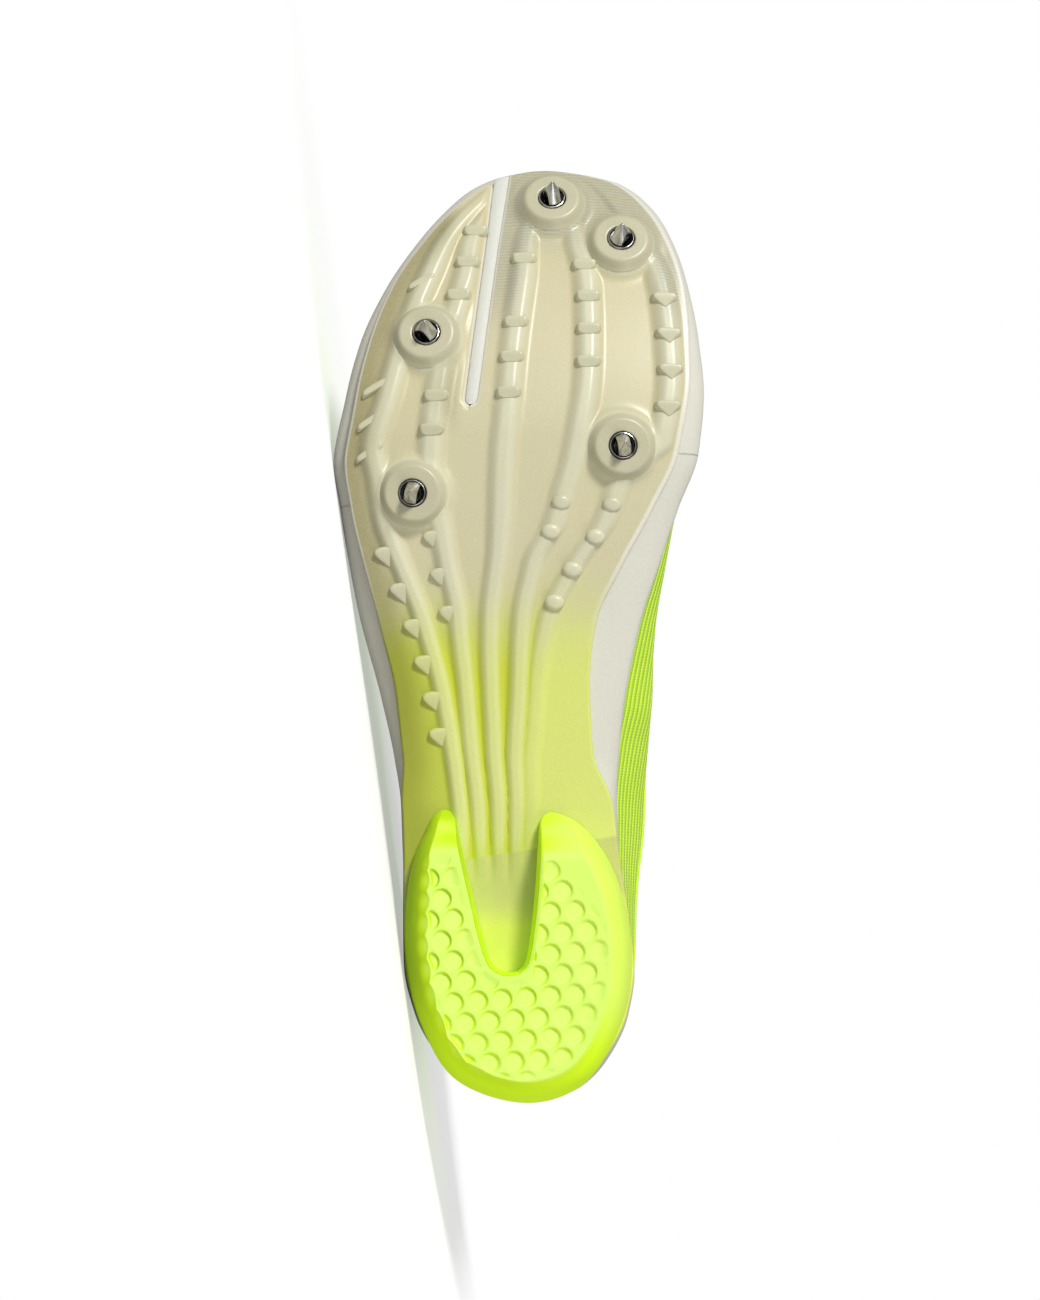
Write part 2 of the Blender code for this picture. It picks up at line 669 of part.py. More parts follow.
def add_heel_pad(shoe, material):
    """Horseshoe with a flat tread, flaring up to the plate; both tips ramp up to the plate."""
    names, rows = HEEL_PAD[0], HEEL_PAD[1:]
    columns = {name: [row[i] for row in rows] for i, name in enumerate(names)}
    parts = 2

    def under_plate(x, y):
        return ground(x, y) - FIT

    sections = []
    for step in range(parts * (len(rows) - 1) + 1):
        read = {name: curve_through(values, step / parts) for name, values in columns.items()}
        outer = Vector((read["outer_along"] * LENGTH, read["outer_side"] * BALL_WIDTH))
        inner = Vector((read["inner_along"] * LENGTH, read["inner_side"] * BALL_WIDTH))
        width = (outer - inner).length
        out = (outer - inner).normalized()
        depth = min(1.0, read["depth"])
        tread_z = under_plate(outer.x, outer.y) * (1.0 - depth)
        flare = min(PAD_FLARE * depth, 0.3 * width)
        lean = min(PAD_LEAN * depth, 0.1 * width)
        lip = PAD_LIP * depth
        rounding = min(PAD_ROUND, 0.15 * width) * depth
        tread_out = outer - out * flare
        tread_in = inner + out * lean
        section = [
            lift_to(outer, under_plate),
            lift_to(outer, under_plate, -lip - 0.0002),
            (tread_out.x, tread_out.y, tread_z + rounding),
            (tread_out.x - out.x * rounding, tread_out.y - out.y * rounding, tread_z),
            (tread_in.x + out.x * rounding, tread_in.y + out.y * rounding, tread_z),
            (tread_in.x, tread_in.y, tread_z + rounding),
            lift_to(inner, under_plate),
        ]
        sections.append([Vector(point) for point in section])
    return link("heel_pad", loft_mesh("heel_pad", sections), material, shoe)


# The upper, from the last


def skin(at, across):
    """A point of the last: across runs from -1 at the lateral rim over the ridge at 0 to +1 medial."""
    side = -1 if across < 0.0 else 1
    foot = edge_point(at, side, RIM_WIDTH + FIT)
    rim_z = footbed(foot.x, foot.y) + RIM_HEIGHT + 2.0 * FIT
    heel_share = 1.0 - smoothstep(0.0, 0.25, at)
    toe_share = smoothstep(0.80, 1.0, at)
    ridge_x = at * LENGTH + HEEL_FAN * heel_share - TOE_FAN * toe_share
    middle = sole_pair(at, "lateral", "medial")
    centre_y = mix(sum(middle) / 2.0, 0.0, smoothstep(0.95, 0.80, at) if at > 0.8 else 1.0)
    ridge = Vector((ridge_x, centre_y + LAST.read("side", at) * BALL_WIDTH * (1.0 - toe_share)))
    rise = LAST.read("of_heel", at) * HEEL_HEIGHT + LAST.read("of_instep", at) * INSTEP_HEIGHT
    ridge_z = footbed(ridge.x, ridge.y) + rise
    angle = (1.0 - abs(across)) * math.pi / 2.0
    power = 2.0 / LAST.read("fullness", at)
    inward = 1.0 - max(0.0, math.cos(angle)) ** power
    upward = math.sin(angle) ** power
    outward = (foot - ridge).normalized()
    name = "bulge_lateral" if side < 0 else "bulge_medial"
    swell = smoothstep(0.03, 0.30, upward) * (1.0 - smoothstep(0.42, 1.0, upward))
    plan = foot.lerp(ridge, inward) + outward * LAST.read(name, at) * BALL_WIDTH * swell
    return Vector((plan.x, plan.y, mix(rim_z, ridge_z, upward)))


def skin_out(at, across):
    """Outward direction of the last's surface."""
    step_at, step_across = 0.004, 0.012
    low, high = max(0.0, at - step_at), min(1.0, at + step_at)
    along = skin(high, across) - skin(low, across)
    left, right = max(-1.0, across - step_across), min(1.0, across + step_across)
    over = skin(at, right) - skin(at, left)
    return along.cross(over).normalized()


def skin_at(at, across, out):
    return skin(at, across) + skin_out(at, across) * out


def wall_at(at, row, band):
    """Thickness of the upper: plain wall, band along collar and throat, padded collar."""
    thick = WALL + (BAND_STEP if band else 0.0)
    pad = smoothstep(*PAD_SWELL, row) * (1.0 - smoothstep(*PAD_END, at))
    return max(thick, mix(thick, COLLAR_PAD, pad))


def add_upper(shoe, guides, material):
    """One hollow knitted shell, open at collar and throat and open under the foot."""
    bm = bmesh.new()
    layer = bm.verts.layers.deform.verify()
    thickest = max(COLLAR_PAD, WALL + BAND_STEP)
    for side in (-1, 1):
        grid = []
        for at in STATIONS:
            edge = LAST.read("edge", at)
            foot = edge_point(at, side, RIM_WIDTH + FIT)
            column = [(lift_to(foot, footbed, FIT), WALL), (skin(at, side), WALL)]
            for row in UPPER_ROWS:
                band = row > BAND_START and at < THROAT_TOE
                out = BAND_STEP if band else 0.0
                across = side * (1.0 - row * edge)
                across = side * 1e-9 if abs(across) < 1e-6 else across
                column.append((skin_at(at, across, out), wall_at(at, row, band)))
            grid.append(column)
        made = []
        for column in grid:
            made.append([])
            for point, thick in column:
                vert = bm.verts.new(point)
                vert[layer][0] = thick / thickest
                made[-1].append(vert)
        for near, far in zip(made, made[1:]):
            for i in range(len(near) - 1):
                loop = (near[i], far[i], far[i + 1], near[i + 1])
                bm.faces.new(loop if side < 0 else tuple(reversed(loop)))
    bmesh.ops.remove_doubles(bm, verts=bm.verts, dist=0.00005)
    bmesh.ops.recalc_face_normals(bm, faces=bm.faces)
    toe_face = max(bm.faces, key=lambda face: face.calc_center_median().x)
    if toe_face.normal.x < 0.0:
        bmesh.ops.reverse_faces(bm, faces=bm.faces)
    mesh = bpy.data.meshes.new("upper")
    bm.to_mesh(mesh)
    bm.free()
    mesh.shade_smooth()
    upper = link("upper", mesh, material, shoe)
    upper.vertex_groups.new(name="wall")
    shell = upper.modifiers.new("wall", "SOLIDIFY")
    shell.thickness = thickest
    shell.offset = -1.0
    shell.use_even_offset = False
    shell.vertex_group = "wall"
    holes = add_eyelet_cutters(guides)
    hide_guide(holes)
    add_boolean(upper, holes, "DIFFERENCE")
    return upper


def eyelet_rows():
    """Shares of the length of the eyelets, from the lowest row up."""
    low, high = THROAT_TOE - 0.045, THROAT_TOP + 0.020
    return [mix(low, high, i / (EYELET_ROWS - 1)) for i in range(EYELET_ROWS)]


def eyelet_across(at):
    """Place of the eyelets across the last, in the middle of the band."""
    return 1.0 - 0.895 * LAST.read("edge", at)


def add_eyelet_cutters(folder):
    bm = bmesh.new()
    depth = 0.010
    for at in eyelet_rows():
        for side in (-1, 1):
            across = side * eyelet_across(at)
            out = skin_out(at, across)
            turn = out.to_track_quat("Z", "Y").to_matrix().to_4x4()
            frame = Matrix.Translation(skin(at, across)) @ turn
            bmesh.ops.create_cone(bm, cap_ends=True, segments=8, radius1=EYELET_RADIUS,
                                  radius2=EYELET_RADIUS, depth=depth, matrix=frame)
    face_out(bm)
    mesh = bpy.data.meshes.new("eyelets")
    bm.to_mesh(mesh)
    bm.free()
    return link("eyelet_holes", mesh, None, folder)


def tongue_reach(at):
    """Half width of the tongue as a share across the last, from its width in metres."""
    foot = edge_point(at, 1, RIM_WIDTH + FIT)
    half = (foot.y - edge_point(at, -1, RIM_WIDTH + FIT).y) / 2.0
    narrow = mix(1.0, 0.72, smoothstep(0.55, TONGUE_TOE, at)) * mix(0.80, 1.0, smoothstep(0.385, 0.44, at))
    share = min(0.95, TONGUE_HALF * narrow / half)
    return 1.0 - math.acos(share ** (LAST.read("fullness", at) / 2.0)) / (math.pi / 2.0)


def add_tongue(shoe, material):
    """Tongue under the throat, from below the vamp to above the collar's front."""
    sections = []
    for at in [share for share in STATIONS if TONGUE_TOP < share < TONGUE_TOE]:
        reach = tongue_reach(at)
        rows = [mix(-reach, reach, i / TONGUE_COLUMNS) for i in range(TONGUE_COLUMNS + 1)]
        outer = [skin_at(at, across, -TONGUE_DEPTH) for across in rows]
        inner = [skin_at(at, across, -TONGUE_DEPTH - TONGUE_THICK) for across in rows]
        sections.append(outer + list(reversed(inner)))
    return link("tongue", loft_mesh("tongue", sections), material, shoe)


def lace_strap(start, end, sinks, hump=0.0):
    """Flat lace over the last from one (at, across) to another; it may sink to the tongue, or rise
    over another lace in a hump."""
    steps = 8
    over_band = BAND_STEP + LACE_LIFT + LACE_THICK / 2.0
    over_tongue = -TONGUE_DEPTH + 1.5 * FIT + LACE_THICK / 2.0
    points = []
    for i in range(steps + 1):
        share = i / steps
        at, across = mix(start[0], end[0], share), mix(start[1], end[1], share)
        sink = smoothstep(0.25, 0.9, share) if sinks else 0.0
        out = mix(over_band, over_tongue, sink) + hump * math.sin(math.pi * share)
        points.append((skin_at(at, across, out), skin_out(at, across)))
    sections = []
    for i, (point, out) in enumerate(points):
        ahead = points[min(i + 1, steps)][0] - points[max(i - 1, 0)][0]
        side = out.cross(ahead).normalized() * LACE_WIDTH / 2.0
        high = ahead.cross(side).normalized() * LACE_THICK / 2.0
        sections.append([point - side - high, point + side - high, point + side + high,
                         point - side + high])
    return sections


def add_laces(shoe, guides, material):
    """A bar at the lowest eyelets, then crossings that pass under the band towards the next row."""
    rows = eyelet_rows()
    made = []
    reach = eyelet_across(rows[0])
    bar = lace_strap((rows[0], -reach), (rows[0], reach), False)
    made.append(link("lace_bar", loft_mesh("lace_bar", bar), material, shoe))
    for number, (low, high) in enumerate(zip(rows[1:], rows[2:]), 1):
        straps = []
        for side in (-1, 1):
            end_at = mix(low, high, LACE_REACH)
            start = (low, side * eyelet_across(low))
            end = (end_at, -side * (1.0 - LAST.read("edge", end_at)) * LACE_INSIDE)
            straps.append(lace_strap(start, end, True, 0.6 * LACE_THICK if side > 0 else 0.0))
        name = "lace_crossing_%d" % number
        crossing = link(name, loft_mesh(name, straps[0]), material, shoe)
        partner = link(name + "_partner", loft_mesh(name + "_partner", straps[1]), None, guides)
        hide_guide(partner)
        add_boolean(crossing, partner, "UNION")
        made.append(crossing)
    return made


# Materials, and how the shoe lies


def make_material(name):
    finish = MATERIALS[name]
    material = bpy.data.materials.new(name)
    material.use_nodes = True
    shader = material.node_tree.nodes["Principled BSDF"]
    shader.inputs["Base Color"].default_value = finish["colour"] + (1.0,)
    shader.inputs["Roughness"].default_value = finish["roughness"]
    shader.inputs["Metallic"].default_value = finish["metallic"]
    return material


def world_points(objects):
    depsgraph = bpy.context.evaluated_depsgraph_get()
    points = []
    for obj in objects:
        mesh = obj.evaluated_get(depsgraph).to_mesh()
        points += [obj.matrix_world @ vert.co for vert in mesh.vertices]
    return points


def volume_centre(objects):
    """Centre of volume of all pieces."""
    depsgraph = bpy.context.evaluated_depsgraph_get()
    total, moment = 0.0, Vector()
    for obj in objects:
        mesh = obj.evaluated_get(depsgraph).to_mesh()
        mesh.calc_loop_triangles()
        for triangle in mesh.loop_triangles:
            a, b, c = (obj.matrix_world @ mesh.vertices[i].co for i in triangle.vertices)
            volume = a.dot(b.cross(c)) / 6.0
            total += volume
            moment += volume * (a + b + c) / 4.0
    return moment / total


def holds(centre, corners, normal):
    """Whether a point, projected along the normal, falls inside a polygon."""
    signs = []
    for first, second in zip(corners, corners[1:] + corners[:1]):
        signs.append((second - first).cross(centre - first).dot(normal))
    return all(sign > 0.0 for sign in signs) or all(sign < 0.0 for sign in signs)


def lay_on_side(objects):
    """Rotation and place that lay the shoe on its lateral side, on the hull face that carries it."""
    points = world_points(objects)
    centre = volume_centre(objects)
    bm = bmesh.new()
    for point in points:
        bm.verts.new(point)
    bmesh.ops.convex_hull(bm, input=bm.verts)
    bm.normal_update()
    lateral = Vector((0.0, -1.0, 0.0))
    middle = sum(points, Vector()) / len(points)
    best = None
    for face in bm.faces:
        normal = face.normal if face.normal.dot(face.calc_center_median() - middle) > 0.0 else -face.normal
        score = normal.dot(lateral)
        if score > 0.7 and holds(centre, [v.co.copy() for v in face.verts], normal):
            if best is None or score > best[0]:
                best = (score, normal.copy())
    bm.free()
    up = -best[1] if best else -lateral
    toe = Vector((1.0, 0.0, 0.0))
    axis_x = -(toe - up * toe.dot(up)).normalized()
    axis_y = up.cross(axis_x).normalized()
    turn = Matrix((axis_x, axis_y, up))
    turned = [turn @ point for point in points]
    low = [min(point[i] for point in turned) for i in range(3)]
    high = [max(point[i] for point in turned) for i in range(3)]
    shift = Vector((-(low[0] + high[0]) / 2.0, -(low[1] + high[1]) / 2.0, -low[2]))
    return turn.to_4x4(), shift


def build():
    for obj in list(bpy.data.objects):
        bpy.data.objects.remove(obj, do_unlink=True)
    shoe = bpy.data.collections.new("track_spike_shoe")
    guides = bpy.data.collections.new("guides")
    bpy.context.scene.collection.children.link(shoe)
    bpy.context.scene.collection.children.link(guides)
    finish = {name: make_material(name) for name in MATERIALS}
    pieces = [
        add_plate(shoe, guides, finish["ivory_plate"]),
        add_midsole(shoe, finish["white_foam"]),
        add_heel_pad(shoe, finish["lime_rubber"]),
        add_insole(shoe, finish["grey_foam"]),
        add_upper(shoe, guides, finish["lime_knit"]),
        add_tongue(shoe, finish["lime_knit"]),
    ]
    pieces += add_sockets(shoe, finish["dark_steel"])
    pieces += add_spikes(shoe, finish["polished_steel"])
    pieces += add_laces(shoe, guides, finish["white_lace"])
    bpy.context.view_layer.update()
    turn, shift = lay_on_side(pieces)
    rest = bpy.data.objects.new("shoe_rest", None)
    shoe.objects.link(rest)
    for obj in list(shoe.objects) + list(guides.objects):
        if obj is not rest:
            obj.parent = rest
    rest.rotation_euler = turn.to_euler()
    rest.location = shift
    bpy.context.view_layer.update()


build()
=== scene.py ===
import math

import bmesh
import bpy
import numpy as np
from mathutils import Matrix, Vector


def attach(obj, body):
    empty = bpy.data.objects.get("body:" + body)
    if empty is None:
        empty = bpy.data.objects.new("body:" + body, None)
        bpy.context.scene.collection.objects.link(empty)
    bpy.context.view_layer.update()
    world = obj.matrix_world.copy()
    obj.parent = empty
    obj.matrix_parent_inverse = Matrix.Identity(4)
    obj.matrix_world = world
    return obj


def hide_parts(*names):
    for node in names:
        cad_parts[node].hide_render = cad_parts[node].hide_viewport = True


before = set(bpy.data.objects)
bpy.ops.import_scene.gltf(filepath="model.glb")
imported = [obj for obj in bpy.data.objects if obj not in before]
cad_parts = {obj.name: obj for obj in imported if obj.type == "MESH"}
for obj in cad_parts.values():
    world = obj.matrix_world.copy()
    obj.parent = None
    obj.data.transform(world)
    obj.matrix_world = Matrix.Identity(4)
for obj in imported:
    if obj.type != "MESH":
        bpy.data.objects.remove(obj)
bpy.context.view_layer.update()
print("the packed shoe is loaded")

# Sizes of the shoe in metres: x runs from heel to toe, y to the medial side, z up from the heel tread
shoe = {
    "length": 0.283, "ballWidth": 0.109, "instepHeight": 0.066, "heelHeight": 0.050,
    "heelLift": 0.0135, "toeSpring": 0.029, "edgeLift": 0.003, "fit": 0.0003,
    "foamHeel": 0.0100, "foamBall": 0.0075, "rimHeight": 0.0035, "rimWidth": 0.0020,
    "heelFan": 0.034, "toeFan": 0.0155, "throatToe": 0.700, "throatTop": 0.420,
}


def table(columns, rows):
    values = np.array(rows, float)
    return {name: values[:, i] for i, name in enumerate(columns)}


# Outlines of foam and plate, in shares of the length and the ball width
solePlan = table(("along", "lateral", "medial", "plateLateral", "plateMedial"), (
    (0.000, 0.015, 0.015, 0.015, 0.015),
    (0.014, -0.138, 0.156, -0.134, 0.151),
    (0.045, -0.224, 0.235, -0.220, 0.231),
    (0.090, -0.291, 0.290, -0.287, 0.286),
    (0.140, -0.322, 0.307, -0.318, 0.304),
    (0.200, -0.325, 0.289, -0.321, 0.286),
    (0.260, -0.326, 0.266, -0.322, 0.263),
    (0.310, -0.331, 0.260, -0.327, 0.246),
    (0.360, -0.349, 0.265, -0.325, 0.195),
    (0.420, -0.383, 0.281, -0.342, 0.185),
    (0.500, -0.439, 0.323, -0.390, 0.203),
    (0.560, -0.471, 0.374, -0.431, 0.275),
    (0.620, -0.497, 0.426, -0.467, 0.358),
    (0.680, -0.514, 0.483, -0.481, 0.427),
    (0.740, -0.483, 0.499, -0.454, 0.456),
    (0.800, -0.445, 0.488, -0.419, 0.460),
    (0.860, -0.378, 0.462, -0.362, 0.449),
    (0.920, -0.280, 0.415, -0.265, 0.405),
    (0.955, -0.206, 0.364, -0.187, 0.352),
    (0.985, -0.111, 0.274, -0.087, 0.264),
    (1.000, 0.064, 0.064, 0.064, 0.064),
))

# The last: how high its ridge runs and how far to the side, how far each side bulges,
# how far up from the rim the knit reaches and how full the section is
lastColumns = ("along", "ofHeel", "ofInstep", "side", "bulgeLateral", "bulgeMedial", "edge", "fullness")
last = table(lastColumns, (
    (0.00, 2.10, 0.00, 0.000, 0.013, 0.013, 0.312, 2.0),
    (0.10, 2.12, 0.00, 0.000, 0.013, 0.022, 0.240, 2.3),
    (0.20, 2.12, 0.00, 0.000, 0.014, 0.048, 0.172, 2.5),
    (0.27, 2.10, 0.00, 0.005, 0.014, 0.088, 0.160, 2.6),
    (0.33, 1.55, 0.35, 0.008, 0.010, 0.108, 0.200, 2.6),
    (0.38, 0.70, 0.83, 0.012, 0.006, 0.112, 0.350, 2.5),
    (0.42, 0.00, 1.15, 0.016, 0.005, 0.108, 0.690, 2.5),
    (0.48, 0.00, 1.03, 0.025, 0.000, 0.084, 0.765, 2.4),
    (0.56, 0.00, 0.92, 0.040, 0.000, 0.050, 0.835, 2.4),
    (0.66, 0.00, 0.79, 0.060, 0.000, 0.016, 0.905, 2.4),
    (0.70, 0.00, 0.73, 0.066, 0.000, 0.008, 1.000, 2.4),
    (0.80, 0.00, 0.60, 0.070, 0.000, 0.000, 1.000, 2.4),
    (0.88, 0.00, 0.51, 0.070, 0.000, 0.000, 1.000, 2.4),
    (0.93, 0.00, 0.44, 0.068, 0.000, 0.000, 1.000, 2.4),
    (0.97, 0.00, 0.37, 0.066, 0.000, 0.000, 1.000, 2.4),
    (1.00, 0.00, 0.30, 0.064, 0.000, 0.000, 1.000, 2.4),
))


def smoothstep(low, high, value):
    share = np.clip((value - low) / (high - low), 0.0, 1.0)
    return share * share * (3.0 - 2.0 * share)


def mix(first, second, share):
    return first + (second - first) * share


def monotone(xs, ys, x):  # a smooth curve that never overshoots its points
    x = np.clip(x, xs[0], xs[-1])
    gap = np.diff(xs)
    rise = np.diff(ys) / gap
    slope = np.zeros(len(xs))
    slope[0], slope[-1] = rise[0], rise[-1]
    for i in range(1, len(xs) - 1):
        if rise[i - 1] * rise[i] > 0.0:
            near, far = 2.0 * gap[i] + gap[i - 1], gap[i] + 2.0 * gap[i - 1]
            slope[i] = (near + far) / (near / rise[i - 1] + far / rise[i])
    k = np.clip(np.searchsorted(xs, x, side="right") - 1, 0, len(xs) - 2)
    t = (x - xs[k]) / gap[k]
    return ((1 + 2 * t) * (1 - t) ** 2 * ys[k] + t * (1 - t) ** 2 * gap[k] * slope[k]
            + t * t * (3 - 2 * t) * ys[k + 1] + t * t * (t - 1) * gap[k] * slope[k + 1])


def read(rows, name, at):  # a column of a table at any place along the shoe
    return monotone(rows["along"], rows[name], at)


def curveThrough(values, place):  # a smooth curve through evenly numbered values or rows of values
    values = np.asarray(values, float)
    k = np.clip(np.asarray(place, int), 0, len(values) - 2)
    t = (place - k).reshape((-1,) + (1,) * (values.ndim - 1))
    before, first = values[np.maximum(0, k - 1)], values[k]
    second, after = values[k + 1], values[np.minimum(len(values) - 1, k + 2)]
    return 0.5 * (2 * first + (second - before) * t
                  + (2 * before - 5 * first + 4 * second - after) * t * t
                  + (3 * first - before - 3 * second + after) * t ** 3)


def throughPoints(rows, parts):  # a smooth curve along each row of control points
    place = np.linspace(0, rows.shape[1] - 1, (rows.shape[1] - 1) * parts + 1)
    return np.moveaxis(curveThrough(np.moveaxis(rows, 1, 0), place), 0, 1)


def unit(vectors):
    size = np.linalg.norm(vectors, axis=-1, keepdims=True)
    return vectors / np.maximum(size, 1e-12)


def soleSides(at, plate):  # y of the lateral and the medial outline
    names = ("plateLateral", "plateMedial") if plate else ("lateral", "medial")
    lateral, medial = solePlan[names[0]], solePlan[names[1]]
    along = solePlan["along"]
    half = np.sqrt(np.maximum(0.0, monotone(along, ((medial - lateral) / 2.0) ** 2, at)))
    centre = monotone(along, (medial + lateral) / 2.0, at)
    return (centre - half) * shoe["ballWidth"], (centre + half) * shoe["ballWidth"]


plateSize = {
    "thick": 0.0019, "margin": 0.0012, "round": 0.0008, "ridgeHeight": 0.0020,
    "lugHeight": 0.0010, "bossHeight": 0.0048, "bossFoot": 0.0102,
    "slitWidth": 0.0036, "slitFlare": 0.0008, "slitRound": 0.0010, "mouth": 0.0045,
    "slitToe": (1.020, -0.046), "slitEnd": (0.733, -0.138),
}


def edgePoint(at, side, inset=0.0, plate=False):  # plan point on the outline of the foam or plate
    at = np.asarray(at, float)
    margin = plateSize["margin"] if plate else 0.0

    def raw(share):
        share = np.clip(share, 0.0, 1.0)
        edge = soleSides(share, plate)[0 if side < 0 else 1]
        return np.stack([mix(margin, shoe["length"] - margin, share), edge], -1)

    step = np.clip(np.minimum(at, 1.0 - at) * 0.5, 1e-7, 0.002)
    along = unit(raw(at + step) - raw(at - step))
    inward = np.stack([along[..., 1], -along[..., 0]], -1) * side
    return raw(at) + inward * inset


def ground(x, y):  # height of the plate's smooth underside
    at = x / shoe["length"]
    heel = shoe["heelLift"] * (1.0 - smoothstep(0.16, 0.69, at))
    toe = shoe["toeSpring"] * (np.maximum(0.0, at - 0.696) / 0.300) ** 1.55
    across = 2.0 * (y + 0.01 * shoe["ballWidth"]) / shoe["ballWidth"]
    lift = smoothstep(0.36, 0.60, at) * mix(1.0, 0.3, smoothstep(0.75, 1.0, at))
    return heel + toe + shoe["edgeLift"] * lift * across * across


def foamThick(x):
    return mix(shoe["foamHeel"], shoe["foamBall"], smoothstep(0.3, 0.7, x / shoe["length"]))


def foamBottom(x, y):
    return ground(x, y) + plateSize["thick"] + shoe["fit"]


def footbed(x, y):
    return foamBottom(x, y) + foamThick(x)


def liftTo(plan, height, extra=0.0):
    return np.concatenate([plan, (height(plan[..., 0], plan[..., 1]) + extra)[..., None]], -1)


def fillBetween(first, second, count, height, extra=0.0):  # columns of points between two edges
    return np.stack([liftTo(mix(first[:, :2], second[:, :2], share), height, extra)
                     for share in np.linspace(0, 1, count)[1:-1]], 1)


def groundSlopes(x, y, step):
    return ((ground(x + step, y) - ground(x - step, y)) / (2.0 * step),
            (ground(x, y + step) - ground(x, y - step)) / (2.0 * step))


def surfaceFrame(x, y, turn=0.0):  # frame on the plate's underside, its z towards the track
    slopeX, slopeY = groundSlopes(x, y, 0.001)
    out = Vector((slopeX, slopeY, -1.0)).normalized()
    along = Vector((1.0, 0.0, slopeX)).normalized()
    side = out.cross(along).normalized()
    place = Matrix((along, side, out)).transposed().to_4x4()
    place.translation = Vector((x, y, float(ground(x, y))))
    return place @ Matrix.Rotation(turn, 4, "Z")


spikeSize = {
    "socketRadius": 0.0039, "socketDepth": 0.0040, "thread": 0.0026, "shank": 0.0021,
    "shankEnd": 0.0010, "radius": 0.0033, "flat": 0.0019, "seat": 0.0003, "shoulder": 0.0007,
    "length": 0.0075, "tip": 0.0003,
}
# along the length, across the ball width, turn in degrees
spikePlaces = ((0.952, 0.083, 20.0), (0.905, 0.272, -35.0), (0.799, -0.259, 55.0),
               (0.681, 0.271, 10.0), (0.632, -0.294, -15.0))
spikeFrames = [surfaceFrame(a * shoe["length"], s * shoe["ballWidth"], math.radians(t))
               for a, s, t in spikePlaces]


def findRest():  # how the shoe lies on its side, from where its five spikes lie
    def corners(name):
        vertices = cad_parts[name].data.vertices
        return np.unique(np.round([vertex.co for vertex in vertices], 7), axis=0)

    seen, seenAxes, tipDepth = [], [], 0.00005
    for number in range(1, len(spikeFrames) + 1):
        spike = corners("spike_%d" % number)
        axis = unit(spike.mean(0) - corners("spike_socket_%d" % number).mean(0))
        reach = spike @ axis
        seen.append(spike[reach > reach.max() - tipDepth].mean(0))
        seenAxes.append(axis)
    tipHeight = plateSize["bossHeight"] + spikeSize["length"]
    axes = [np.array(place.to_3x3().col[2]) for place in spikeFrames]
    tips = np.array([np.array(place.translation) + axis * tipHeight
                     for place, axis in zip(spikeFrames, axes)])
    seen = np.array(seen)
    tipWeight = 1e3  # the tips lie centimetres apart, the axes have unit length
    shared = (seen - seen.mean(0)).T @ (tips - tips.mean(0)) * tipWeight
    shared += sum(np.outer(there, here) for there, here in zip(seenAxes, axes))
    left, _, right = np.linalg.svd(shared)
    turn = left @ np.diag([1.0, 1.0, np.linalg.det(left @ right)]) @ right
    found = Matrix(turn.tolist()).to_4x4()
    found.translation = Vector(seen.mean(0) - turn @ tips.mean(0))
    off = np.linalg.norm(seen - (tips @ turn.T + np.array(found.translation)), axis=-1)
    print("the spikes meet the frame within", round(float(off.max()) * 1000.0, 3), "mm")
    return found


rest = findRest()


# How meshes become pieces


def gridFaces(rows, columns, wrap=True):
    i, j = np.meshgrid(np.arange(rows - 1), np.arange(columns if wrap else columns - 1), indexing="ij")
    a, b = i * columns + j, i * columns + (j + 1) % columns
    return np.stack([a, b, b + columns, a + columns], -1).reshape(-1, 4)


def placed(points, place):
    matrix = np.array(place)
    return points @ matrix[:3, :3].T + matrix[:3, 3]


def cappedFaces(rows, columns):  # a closed tube with both ends filled
    caps = [tuple(range(columns)), tuple(reversed(range((rows - 1) * columns, rows * columns)))]
    return list(map(tuple, gridFaces(rows, columns))) + caps


def addObject(name, data):
    made = bpy.data.objects.new(name, data)
    bpy.context.scene.collection.objects.link(made)
    return made


def buildPiece(name, parts, material, nodes, sharp, places=None):
    points = np.concatenate([np.asarray(p, float).reshape(-1, 3) for p, _ in parts])
    points = placed(points, rest)  # the piece sits at the origin and its mesh lies where the shoe lies
    points[:, 2] = np.maximum(points[:, 2], 0.0)  # soft edges are flat where they touch the floor
    faces, start = [], 0
    for p, f in parts:
        faces += [tuple(int(i) + start for i in face) for face in f]
        start += len(np.asarray(p).reshape(-1, 3))
    mesh = bpy.data.meshes.new(name)
    mesh.from_pydata(points.tolist(), [], faces)
    if places is not None:
        layer = mesh.attributes.new("place", "FLOAT_VECTOR", "POINT")
        layer.data.foreach_set("vector", np.asarray(places, float).reshape(-1))
    bm = bmesh.new()
    bm.from_mesh(mesh)
    bmesh.ops.remove_doubles(bm, verts=bm.verts, dist=0.000004)
    bmesh.ops.recalc_face_normals(bm, faces=bm.faces)
    if bm.calc_volume(signed=True) < 0.0:
        bmesh.ops.reverse_faces(bm, faces=bm.faces)
    bm.to_mesh(mesh)
    bm.free()
    mesh.shade_smooth()
    mesh.set_sharp_from_angle(angle=math.radians(sharp))
    mesh.materials.append(material)
    piece = addObject(name, mesh)
    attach(piece, "root")
    if nodes:
        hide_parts(*nodes)
    print("made", name, "with", len(mesh.polygons), "faces")
    return piece


def endSpaced(count):  # shares from 0 to 1 that lie closer together at both ends
    return (1.0 - np.cos(np.pi * np.linspace(0.0, 1.0, count))) / 2.0


# Materials


